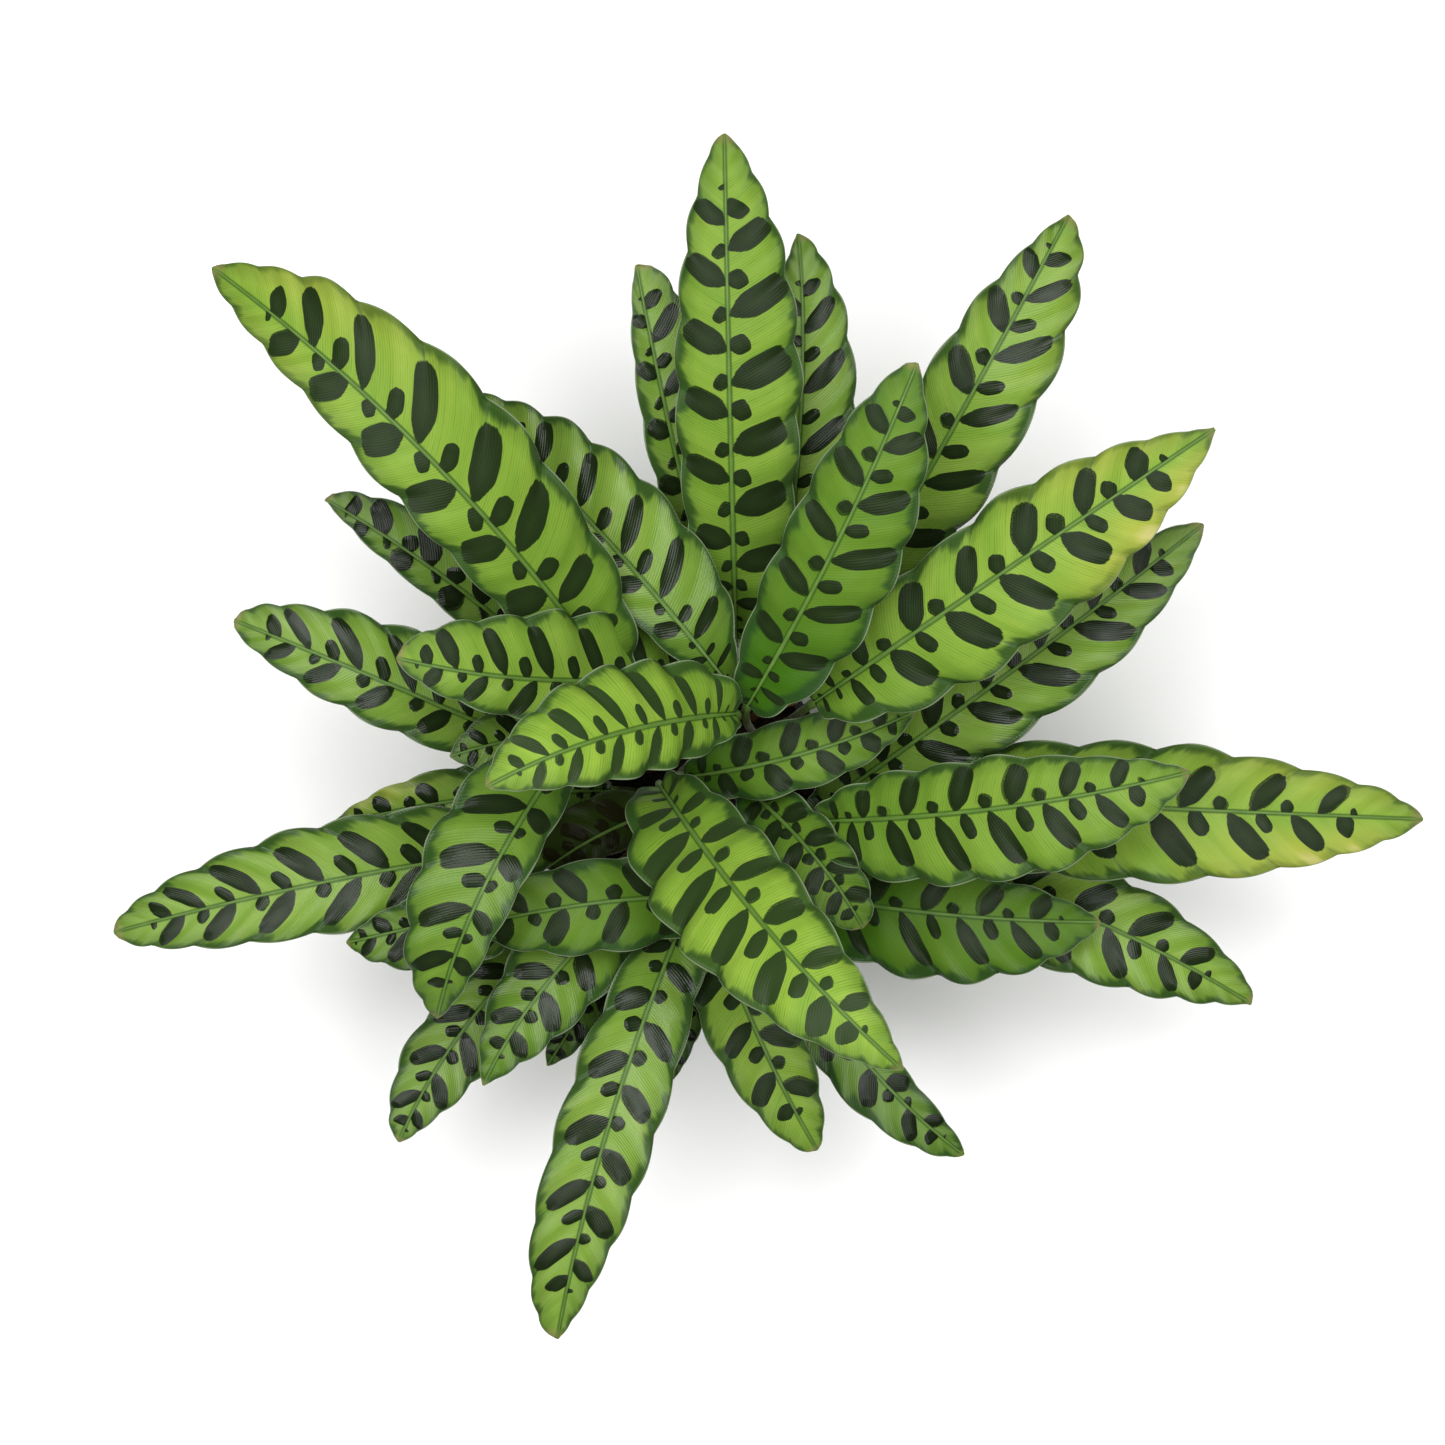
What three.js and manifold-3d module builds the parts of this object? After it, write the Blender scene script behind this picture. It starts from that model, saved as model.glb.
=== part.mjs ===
// A potted rattlesnake plant: a clump of long wavy lance-shaped leaves on slender stalks, in a plastic nursery pot.
// Millimetres, +Z up. The origin is the centre of the flat underside of the pot.
import * as THREE from "three";
import { mergeVertices } from "three/addons/utils/BufferGeometryUtils.js";
import Module from "manifold-3d";

const wasm = await Module();
wasm.setup();
const WELD_GAP = 0.001;

// Pot
const POT_HEIGHT = 105;
const POT_BASE_RADIUS = 43;
const POT_TOP_RADIUS = 57;
const POT_WALL = 1.8;
const POT_FLOOR = 2.4;
const RIM_RADIUS = 60;
const RIM_HEIGHT = 13;
const POT_SIDES = 48;
const DRAIN_HOLES = 8;
const DRAIN_RADIUS = 4.5;
const DRAIN_CIRCLE = 31;
const DRAIN_SIDES = 12;

// Soil, with low lumps on its surface
const SOIL_LEVEL = 92;
const SOIL_CLEARANCE = 0.5;
const SOIL_RINGS = 6;
const SOIL_SIDES = 36;
const LUMP_HEIGHT = 1.4;
const LUMP_PITCH = 11;
const CROSS_LUMPS = 0.6;

// Stalks, which stand in holes in the soil and are sheathed, so thicker, near their feet
const BURIED_DEPTH = 14;
const FOOT_RADIUS = 2.9;
const STALK_RADIUS = 1.9;
const SHEATH_LENGTH = 55;
const COLLAR_HEIGHT = 3;
const HOLE_CLEARANCE = 0.45;
const HOLE_HEADROOM = 8;
const STALK_STEPS = 7;
const STALK_RISE = 0.45;
const THROAT_REACH = 0.2;
const STALK_UPRIGHT = 2;

// Blades, as shares of their length or width where no unit is named
const BLADE_STEPS = 18;
const WIDEST_AT = 0.53;
const BASE_FULLNESS = 0.45;
const TIP_FULLNESS = 0.7;
const TIP_WIDTH = 1.4;
const MARGIN_THICKNESS = 0.7;
const RIB_DEPTH = 1.6;
const RIB_PROUD = 0.35;
const WAVES = 4.5;
const WAVE_SHARE = 0.045;
const SCALLOP_SHARE = 0.035;
const SIDE_PHASE = 2.2;
const FOLD_SLOPE = Math.tan(THREE.MathUtils.degToRad(7));
const GOLDEN_ANGLE = Math.PI * (3 - Math.sqrt(5));

const FINISHES = {
  leaf: { color: 0x6fa531, roughness: 0.45, metalness: 0 },
  dry: { color: 0x8a5626, roughness: 0.7, metalness: 0 },
  pot: { color: 0x26282a, roughness: 0.5, metalness: 0 },
  soil: { color: 0x2d2119, roughness: 1, metalness: 0 },
};

// One row for each leaf: its foot, where the stalk leaves the soil; its throat, middle and tip, where the rib starts,
// passes and ends; the widths of its two halves, left and right of the rib, where the blade is widest; and, for a
// leaf that leans to one side, its roll about the rib in degrees. Roll 0 lets the blade lie level from side to side.
const LEAVES = [
  [[-20, 28], [-37, 48, 203], [-109, 136, 275], [-199, 215, 262], [23, 34], -6],
  [[4, 31], [13, 44, 238], [-40, 107, 219], [-101, 170, 199], [16, 29]],
  [[-5, 42], [4, 86, 175], [-13, 157, 215], [-26, 221, 225], [11, 19]],
  [[6, 40], [16, 65, 192], [13, 168, 253], [11, 270, 262], [22, 29]],
  [[16, 40], [33, 64, 180], [43, 156, 225], [42, 234, 225], [19, 25]],
  [[29, 38], [66, 79, 180], [110, 158, 240], [154, 239, 245], [21, 27]],
  [[26, 22], [21, 36, 242], [57, 102, 285], [88, 172, 300], [21, 27]],
  [[39, 28], [49, 37, 228], [128, 92, 267], [209, 147, 285], [25, 31]],
  [[33, 3], [50, -11, 160], [133, 50, 205], [213, 112, 222], [21, 27]],
  [[-6, 29], [1, 51, 191], [-61, 46, 240], [-124, 55, 258], [18, 28]],
  [[6, 22], [15, 32, 252], [-35, 23, 305], [-83, 3, 318], [18, 26]],
  [[-41, 14], [-50, 8, 165], [-123, 41, 205], [-198, 72, 205], [19, 26]],
  [[-29, 24], [-63, 52, 165], [-111, 92, 195], [-160, 124, 198], [11, 18]],
  [[-30, 14], [-39, 23, 175], [-72, 22, 200], [-106, 14, 205], [17, 17]],
  [[-27, -4], [-40, -2, 140], [-100, -5, 165], [-161, -17, 165], [16, 16]],
  [[-38, -6], [-61, -25, 165], [-155, -39, 195], [-252, -62, 190], [23, 23]],
  [[-22, 7], [-49, 25, 218], [-86, -36, 262], [-109, -95, 235], [14, 29]],
  [[-33, -20], [-67, -46, 170], [-113, -57, 198], [-151, -66, 196], [20, 14]],
  [[7, -29], [11, -47, 185], [-40, -48, 208], [-100, -59, 202], [21, 19]],
  [[-27, -27], [-62, -62, 140], [-104, -107, 152], [-133, -157, 150], [19, 16]],
  [[-9, -22], [-15, -35, 165], [-62, -80, 190], [-93, -128, 188], [24, 20]],
  [[0, -26], [0, -42, 178], [-36, -136, 205], [-61, -237, 190], [22, 23]],
  [[-15, -35], [-27, -65, 130], [-48, -94, 138], [-68, -125, 132], [11, 11]],
  [[-16, -3], [-16, 1, 208], [31, -58, 290], [82, -110, 305], [23, 31]],
  [[2, -32], [4, -51, 170], [25, -105, 192], [51, -156, 188], [19, 21]],
  [[18, -33], [40, -73, 140], [74, -122, 155], [117, -163, 148], [11, 19]],
  [[12, 1], [19, 1, 180], [48, -27, 205], [70, -59, 208], [14, 15]],
  [[-4, 9], [-6, 5, 190], [44, 15, 207], [92, 33, 209], [16, 15]],
  [[28, -15], [51, -14, 190], [127, -7, 240], [203, 8, 255], [21, 30]],
  [[44, 6], [65, -3, 160], [188, -8, 195], [310, -13, 200], [26, 31]],
  [[26, -28], [44, -47, 160], [109, -55, 180], [174, -58, 182], [19, 28]],
  [[41, -11], [91, -30, 140], [168, -56, 158], [244, -96, 150], [21, 27]],
  [[3, -38], [5, -62, 130], [-3, -95, 138], [-12, -131, 132], [7, 11]],
  [[-9, -12], [-20, -11, 168], [-44, -21, 178], [-66, -35, 173], [16, 17]],
];

// The dry sheaths of old leaves, still standing among the stalks, in rows like the leaves'. Their stalks are thinner.
const DRY_SHEATHS = [
  [[24, 31], [32, 36, 130], [42, 42, 146], [52, 49, 154], [4.5, 4.5]],
  [[-39, -20], [-45, -22, 112], [-52, -24, 119], [-60, -27, 121], [3.5, 3.5]],
];
const DRY_STALK_SCALE = 0.75;

const UP = new THREE.Vector3(0, 0, 1);
const plant = new THREE.Group();

function add(name, geometry, finish) {
  const mesh = new THREE.Mesh(geometry, new THREE.MeshStandardMaterial(FINISHES[finish]));
  mesh.name = name;
  plant.add(mesh);
}

// A closed geometry as a solid that can be cut.
function solidOf(geometry) {
  const bare = new THREE.BufferGeometry();
  bare.setAttribute("position", geometry.getAttribute("position"));
  bare.setIndex(geometry.index);
  const merged = mergeVertices(bare, WELD_GAP);
  const mesh = new wasm.Mesh({
    numProp: 3,
    vertProperties: merged.attributes.position.array,
    triVerts: new Uint32Array(merged.index.array),
  });
  return new wasm.Manifold(mesh);
}

function geometryOf(solid) {
  const mesh = solid.getMesh();
  const geometry = new THREE.BufferGeometry();
  geometry.setAttribute("position", new THREE.BufferAttribute(mesh.vertProperties, 3));
  geometry.setIndex(new THREE.BufferAttribute(mesh.triVerts, 1));
  geometry.computeVertexNormals();
  return geometry;
}

// Turns a profile of [radius, height] points about the Z axis.
function turned(profile, sides) {
  const points = profile.map(([radius, height]) => new THREE.Vector2(radius, height));
  return new THREE.LatheGeometry(points, sides).rotateX(Math.PI / 2);
}

// Skins six-cornered rings into one closed body. Corners 0, 1, 2 are the left margin, rib and right margin of the
// upper face, and 3, 4, 5 those of the lower face from right to left. The diagonals are alike on both faces.
function loft(rings) {
  const corners = 6;
  const turnedDiagonal = [false, true, false, false, true, false];
  const positions = rings.flat().flatMap((p) => [p.x, p.y, p.z]);
  const index = [];
  for (let i = 0; i + 1 < rings.length; i++) {
    for (let j = 0; j < corners; j++) {
      const a = i * corners + j;
      const b = i * corners + ((j + 1) % corners);
      const c = b + corners;
      const d = a + corners;
      if (turnedDiagonal[j]) index.push(a, b, d, b, c, d);
      else index.push(a, b, c, a, c, d);
    }
  }
  const last = (rings.length - 1) * corners;
  for (const [a, b, c] of [[0, 1, 5], [1, 4, 5], [1, 2, 4], [2, 3, 4]]) {
    index.push(c, b, a, last + a, last + b, last + c);
  }
  const geometry = new THREE.BufferGeometry();
  geometry.setAttribute("position", new THREE.Float32BufferAttribute(positions, 3));
  geometry.setIndex(index);
  geometry.computeVertexNormals();
  return geometry;
}

// The six corners of a round section, as [sideways, upward] from its centre.
function roundSection(radius) {
  return [150, 90, 30, -30, -90, -150].map((degrees) => {
    const angle = THREE.MathUtils.degToRad(degrees);
    return [radius * Math.cos(angle), radius * Math.sin(angle)];
  });
}

// The six corners of a blade's section: margins lifted by left and right, and a rib that stands proud below.
function bladeSection(halfLeft, halfRight, left, right, share) {
  const edge = MARGIN_THICKNESS / 2;
  const proud = THREE.MathUtils.lerp(RIB_PROUD, edge, share);
  const deep = THREE.MathUtils.lerp(RIB_DEPTH, edge, share);
  return [
    [-halfLeft, left + edge],
    [0, proud],
    [halfRight, right + edge],
    [halfRight, right - edge],
    [0, -deep],
    [-halfLeft, left - edge],
  ];
}

// Lays a section across a path, at a point with a tangent, with its sideways direction as near side as it can be.
function ringAt(point, tangent, side, section) {
  const across = side.clone().addScaledVector(tangent, -side.dot(tangent)).normalize();
  const upward = new THREE.Vector3().crossVectors(across, tangent).normalize();
  return section.map(([s, u]) => point.clone().addScaledVector(across, s).addScaledVector(upward, u));
}

// The blade's half width at a share of its length, as a share of its greatest half width.
function outline(share) {
  if (share < WIDEST_AT) return Math.sin((Math.PI / 2) * (share / WIDEST_AT)) ** BASE_FULLNESS;
  return Math.cos((Math.PI / 2) * ((share - WIDEST_AT) / (1 - WIDEST_AT))) ** TIP_FULLNESS;
}

// The margins wave up and down and in and out, each in its own rhythm, and calm down towards both ends.
function bladeRings(leaf, rib, phase) {
  const rings = [];
  for (let i = 1; i <= BLADE_STEPS; i++) {
    const share = i / BLADE_STEPS;
    const calm = Math.sqrt(Math.sin(Math.PI * share));
    const tangent = rib.getTangentAt(share);
    const side = levelSide(tangent).applyAxisAngle(tangent, leaf.roll);
    const margins = leaf.halves.map((half, which) => {
      const wave = Math.sin(phase + SIDE_PHASE * which + 2 * Math.PI * WAVES * share);
      const width = Math.max(half * outline(share) * (1 + SCALLOP_SHARE * wave), TIP_WIDTH / 2);
      return { width, lift: width * FOLD_SLOPE + 2 * half * WAVE_SHARE * wave * calm };
    });
    const [left, right] = margins;
    const section = bladeSection(left.width, right.width, left.lift, right.lift, share);
    rings.push(ringAt(rib.getPointAt(share), tangent, side, section));
  }
  return rings;
}

// The level direction to the right of a path.
function levelSide(tangent) {
  return new THREE.Vector3().crossVectors(tangent, UP).normalize();
}

// The stalk rises straight out of the soil and bends over into the start of the rib.
function stalkRings(leaf, rib) {
  const [x, y] = leaf.foot;
  const ground = new THREE.Vector3(x, y, SOIL_LEVEL + COLLAR_HEIGHT);
  const throat = rib.getPoint(0);
  const length = ground.distanceTo(throat);
  const into = rib.getTangent(0).addScaledVector(UP, STALK_UPRIGHT).normalize();
  const path = new THREE.CubicBezierCurve3(
    ground,
    ground.clone().addScaledVector(UP, length * STALK_RISE),
    throat.clone().addScaledVector(into, -length * THROAT_REACH),
    throat,
  );
  const side = levelSide(rib.getTangent(0));
  const sectionAt = (height) => {
    const bare = THREE.MathUtils.clamp(height / SHEATH_LENGTH, 0, 1);
    return roundSection(leaf.stalkScale * THREE.MathUtils.lerp(FOOT_RADIUS, STALK_RADIUS, bare));
  };
  const buried = new THREE.Vector3(x, y, SOIL_LEVEL - BURIED_DEPTH);
  const rings = [ringAt(buried, UP, side, sectionAt(0))];
  for (let i = 0; i <= STALK_STEPS; i++) {
    const share = i / STALK_STEPS;
    rings.push(ringAt(path.getPoint(share), path.getTangent(share), side, sectionAt(share * length)));
  }
  return rings;
}

// The rib is the parabola that starts at the throat, passes the middle and ends at the tip.
function ribOf(leaf) {
  const [throat, middle, tip] = [leaf.throat, leaf.middle, leaf.tip].map((p) => new THREE.Vector3(...p));
  const control = middle.clone().multiplyScalar(2).addScaledVector(throat, -0.5).addScaledVector(tip, -0.5);
  return new THREE.QuadraticBezierCurve3(throat, control, tip);
}

function makeLeaf(name, leaf, order, finish) {
  const rib = ribOf(leaf);
  add(name, loft([...stalkRings(leaf, rib), ...bladeRings(leaf, rib, order * GOLDEN_ANGLE)]), finish);
}

// An upright hole in the soil for a leaf's foot, with its six sides turned as the stalk's are.
function footHole(leaf) {
  const side = levelSide(ribOf(leaf).getTangent(0));
  const section = roundSection(leaf.stalkScale * FOOT_RADIUS + HOLE_CLEARANCE);
  const ends = [SOIL_LEVEL - BURIED_DEPTH - HOLE_CLEARANCE, SOIL_LEVEL + HOLE_HEADROOM];
  return loft(ends.map((z) => ringAt(new THREE.Vector3(...leaf.foot, z), UP, side, section)));
}

function makePot() {
  const shoulder = POT_HEIGHT - RIM_HEIGHT;
  const profile = [
    [0, 0],
    [POT_BASE_RADIUS, 0],
    [POT_TOP_RADIUS, shoulder],
    [RIM_RADIUS, shoulder],
    [RIM_RADIUS, POT_HEIGHT],
    [POT_TOP_RADIUS - POT_WALL, POT_HEIGHT],
    [POT_BASE_RADIUS - POT_WALL, POT_FLOOR],
    [0, POT_FLOOR],
  ];
  let pot = solidOf(turned(profile, POT_SIDES));
  for (let i = 0; i < DRAIN_HOLES; i++) {
    const angle = (2 * Math.PI * i) / DRAIN_HOLES;
    const drill = new THREE.CylinderGeometry(DRAIN_RADIUS, DRAIN_RADIUS, 4 * POT_FLOOR, DRAIN_SIDES)
      .rotateX(Math.PI / 2)
      .translate(DRAIN_CIRCLE * Math.cos(angle), DRAIN_CIRCLE * Math.sin(angle), POT_FLOOR / 2);
    pot = pot.subtract(solidOf(drill));
  }
  add("pot", geometryOf(pot), "pot");
}

// Inner radius of the pot at a height.
function potInside(height) {
  const share = (height - POT_FLOOR) / (POT_HEIGHT - POT_FLOOR);
  return THREE.MathUtils.lerp(POT_BASE_RADIUS, POT_TOP_RADIUS, share) - POT_WALL;
}

function makeSoil(leaves) {
  const bottom = POT_FLOOR + SOIL_CLEARANCE;
  const rim = potInside(SOIL_LEVEL) - SOIL_CLEARANCE;
  const profile = [[0, bottom], [potInside(bottom) - SOIL_CLEARANCE, bottom]];
  for (let i = SOIL_RINGS; i >= 0; i--) profile.push([(rim * i) / SOIL_RINGS, SOIL_LEVEL]);
  const ground = turned(profile, SOIL_SIDES);
  const position = ground.getAttribute("position");
  for (let i = 0; i < position.count; i++) {
    const [x, y, z] = [position.getX(i), position.getY(i), position.getZ(i)];
    if (z < SOIL_LEVEL - BURIED_DEPTH) continue;
    const broad = Math.sin(x / LUMP_PITCH + 1) * Math.cos(y / LUMP_PITCH);
    const cross = CROSS_LUMPS * Math.sin((x - 2 * y) / LUMP_PITCH);
    position.setZ(i, SOIL_LEVEL + LUMP_HEIGHT * (broad + cross));
  }
  let soil = solidOf(ground);
  for (const leaf of leaves) soil = soil.subtract(solidOf(footHole(leaf)));
  add("soil", geometryOf(soil), "soil");
}

const asLeaf = (stalkScale) => ([foot, throat, middle, tip, halves, roll = 0]) => ({
  foot, throat, middle, tip, halves, stalkScale, roll: THREE.MathUtils.degToRad(roll),
});
const leaves = LEAVES.map(asLeaf(1));
const drySheaths = DRY_SHEATHS.map(asLeaf(DRY_STALK_SCALE));

leaves.forEach((leaf, order) => makeLeaf(`leaf_${String(order + 1).padStart(2, "0")}`, leaf, order, "leaf"));
drySheaths.forEach((sheath, order) => makeLeaf(`dry_sheath_${order + 1}`, sheath, order, "dry"));
makePot();
makeSoil([...leaves, ...drySheaths]);

export default plant;
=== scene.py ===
# The looks of a potted rattlesnake plant: spotted wavy leaves on slender stalks, in a black nursery pot
import math
from functools import partial

import bmesh
import bpy
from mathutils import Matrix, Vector


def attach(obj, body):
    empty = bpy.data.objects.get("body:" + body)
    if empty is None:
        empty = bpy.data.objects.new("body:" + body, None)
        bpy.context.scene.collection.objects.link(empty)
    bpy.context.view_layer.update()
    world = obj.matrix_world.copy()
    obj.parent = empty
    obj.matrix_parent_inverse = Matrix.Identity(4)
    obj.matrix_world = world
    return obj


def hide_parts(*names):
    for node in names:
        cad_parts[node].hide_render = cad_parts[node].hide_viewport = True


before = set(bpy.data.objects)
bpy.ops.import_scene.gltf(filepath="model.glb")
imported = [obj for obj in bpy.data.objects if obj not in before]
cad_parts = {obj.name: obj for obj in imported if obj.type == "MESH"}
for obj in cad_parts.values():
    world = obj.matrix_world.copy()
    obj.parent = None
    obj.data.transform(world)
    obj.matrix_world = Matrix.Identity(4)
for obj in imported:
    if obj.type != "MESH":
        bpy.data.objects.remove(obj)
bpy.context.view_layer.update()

MM = 0.001
UP = Vector((0, 0, 1))
SEED = 7

# Camera: straight down on the plant, in millimetres
CAMERA_SPOT = (10.2, 28.4, 1700)
SENSOR_WIDTH = 36
PHOTO_WIDTH = 1445
FOCAL_PIXELS = 3504

# Pot and soil, as in the solids
POT_HEIGHT = 105
POT_BASE_RADIUS = 43
POT_TOP_RADIUS = 57
POT_WALL = 1.8
POT_FLOOR = 2.4
RIM_RADIUS = 60
RIM_HEIGHT = 13
POT_SIDES = 144
DRAIN_HOLES = 8
DRAIN_RADIUS = 4.5
DRAIN_CIRCLE = 31
SOIL_LEVEL = 92
SOIL_CLEARANCE = 0.5
BASE_ROUNDING = 1.5
SHOULDER_STEP = 0.6
RIM_BEVEL = 0.5
LIP_RADIUS = 0.8
ARC_STEPS = 4
DRAIN_SIDES = 32
SHARP_ANGLE = math.radians(35)

# The soil's surface: broad lumps, others that cross them, and crumbs
SOIL_RINGS = 40
SOIL_SIDES = 96
LUMP_PITCH = 11
LUMP_HEIGHT = 1.4
CROSSING_LUMPS = 0.6
CRUMB_HEIGHT = 0.35
CRUMB_WAVES = (0.9, 0.5, 0.8)

# Loose grains on the soil: name, number to the square metre, smallest and largest radius in millimetres,
# finish
GRAINS = (
    ("bark_crumbs", 26000, 0.6, 2.2, "bark"),
    ("perlite_grains", 2200, 0.6, 1.5, "perlite"),
)
GRAIN_RINGS = 20
GRAIN_SIDES = 48
GRAIN_LIFT = 0.2
RIM_KEPT_CLEAR = 2

# Stalks
BURIED_DEPTH = 14
COLLAR_HEIGHT = 3
FOOT_RADIUS = 2.9
STALK_RADIUS = 1.9
SHEATH_LENGTH = 55
STALK_RISE = 0.45
THROAT_REACH = 0.2
STALK_UPRIGHT = 2
STALK_STEPS = 26
JOINT_LENGTH = 16
JOINT_RADIUS = 2.3
DRY_STALK_SCALE = 0.75
STALK_SIDES = 10

# Ribs and blades. A rib is swollen in the first of its parts.
RIB_STEPS = 36
RIB_RADIUS = 1.5
RIB_TIP_RADIUS = 0.5
RIB_PROUD = 0.5
RIB_TIP_PROUD = 0.3
SHEET_TOP = 0.35
SHEET_THICKNESS = 0.5
CELL_LENGTH = 1.5
CELLS_ACROSS = 30
DRY_CELLS = 40
LENGTH_STEPS = 20
RIB_RESOLUTION = 64
RIB_TAPER = 0.7
SWELLING_PARTS = 12

# Floor and light, with places and sizes in metres and the softboxes' power in watts
FLOOR_SIZE = 8
WORLD_LIGHT = 0.18
AIM = (0, 0, 0.2)
SOFTBOX_SIZE = 1.0
SOFTBOXES = (
    ("north softbox", (0.05, 0.75, 2.3), 29.7),
    ("west softbox", (-0.75, 0.05, 2.3), 26.4),
    ("east softbox", (0.75, 0.1, 2.3), 18.7),
    ("south softbox", (-0.05, -0.75, 2.3), 14.3),
)

# Each leaf: foot, throat, middle and tip, as in the solids, and the widths of its halves left and right of
# the rib, half of them 1 to 3 mm narrower than in the solids.
LEAVES = (
    ((-20, 28), (-37, 48, 203), (-109, 136, 275), (-199, 215, 262), (21.5, 36)),
    ((4, 31), (13, 44, 238), (-40, 107, 219), (-101, 170, 199), (16, 30)),
    ((-5, 42), (4, 86, 175), (-13, 157, 215), (-26, 221, 225), (11, 21)),
    ((6, 40), (16, 65, 192), (13, 168, 253), (11, 270, 262), (22, 29)),
    ((16, 40), (33, 64, 180), (43, 156, 225), (42, 234, 225), (18, 24)),
    ((29, 38), (66, 79, 180), (110, 158, 240), (154, 239, 245), (21, 27)),
    ((26, 22), (21, 36, 242), (57, 102, 285), (88, 172, 300), (21, 27)),
    ((39, 28), (49, 37, 228), (128, 92, 267), (209, 147, 285), (25, 31)),
    ((33, 3), (50, -11, 160), (133, 50, 205), (213, 112, 222), (21, 25)),
    ((-6, 29), (1, 51, 191), (-61, 46, 240), (-124, 55, 258), (18, 28)),
    ((6, 22), (15, 32, 252), (-35, 23, 305), (-83, 3, 318), (18, 26)),
    ((-41, 14), (-50, 8, 165), (-123, 41, 205), (-198, 72, 205), (18, 25)),
    ((-29, 24), (-63, 52, 165), (-111, 92, 195), (-160, 124, 198), (11, 18)),
    ((-30, 14), (-39, 23, 175), (-72, 22, 200), (-106, 14, 205), (17, 17)),
    ((-27, -4), (-40, -2, 140), (-100, -5, 165), (-161, -17, 165), (16, 15)),
    ((-38, -6), (-61, -25, 165), (-155, -39, 195), (-252, -62, 190), (22, 25)),
    ((-22, 7), (-49, 25, 218), (-86, -36, 262), (-109, -95, 235), (14, 29)),
    ((-33, -20), (-67, -46, 170), (-113, -57, 198), (-151, -66, 196), (21, 14)),
    ((7, -29), (11, -47, 185), (-40, -48, 208), (-100, -59, 202), (21, 19)),
    ((-27, -27), (-62, -62, 140), (-104, -107, 152), (-133, -157, 150), (19, 17)),
    ((-9, -22), (-15, -35, 165), (-62, -80, 190), (-93, -128, 188), (21, 20)),
    ((0, -26), (0, -42, 178), (-36, -136, 205), (-61, -237, 190), (21, 21.5)),
    ((-15, -35), (-27, -65, 130), (-48, -94, 138), (-68, -125, 132), (11, 11)),
    ((-16, -3), (-16, 1, 208), (31, -58, 290), (82, -110, 305), (23, 31)),
    ((2, -32), (4, -51, 170), (25, -105, 192), (51, -156, 188), (19, 21)),
    ((18, -33), (40, -73, 140), (74, -122, 155), (117, -163, 148), (11, 18)),
    ((12, 1), (19, 1, 180), (48, -27, 205), (70, -59, 208), (14, 15)),
    ((-4, 9), (-6, 5, 190), (44, 15, 207), (92, 33, 209), (16, 15)),
    ((28, -15), (51, -14, 190), (127, -7, 240), (203, 8, 255), (21, 30)),
    ((44, 6), (65, -3, 160), (188, -8, 195), (310, -13, 200), (27, 32)),
    ((26, -28), (44, -47, 160), (109, -55, 180), (174, -58, 182), (19, 28)),
    ((41, -11), (91, -30, 140), (168, -56, 158), (244, -96, 150), (22, 28)),
    ((3, -38), (5, -62, 130), (-3, -95, 138), (-12, -131, 132), (7, 11)),
    ((-9, -12), (-20, -11, 168), (-44, -21, 178), (-66, -35, 173), (10, 17)),
)
ROLLS = {1: math.radians(-6)}

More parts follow.
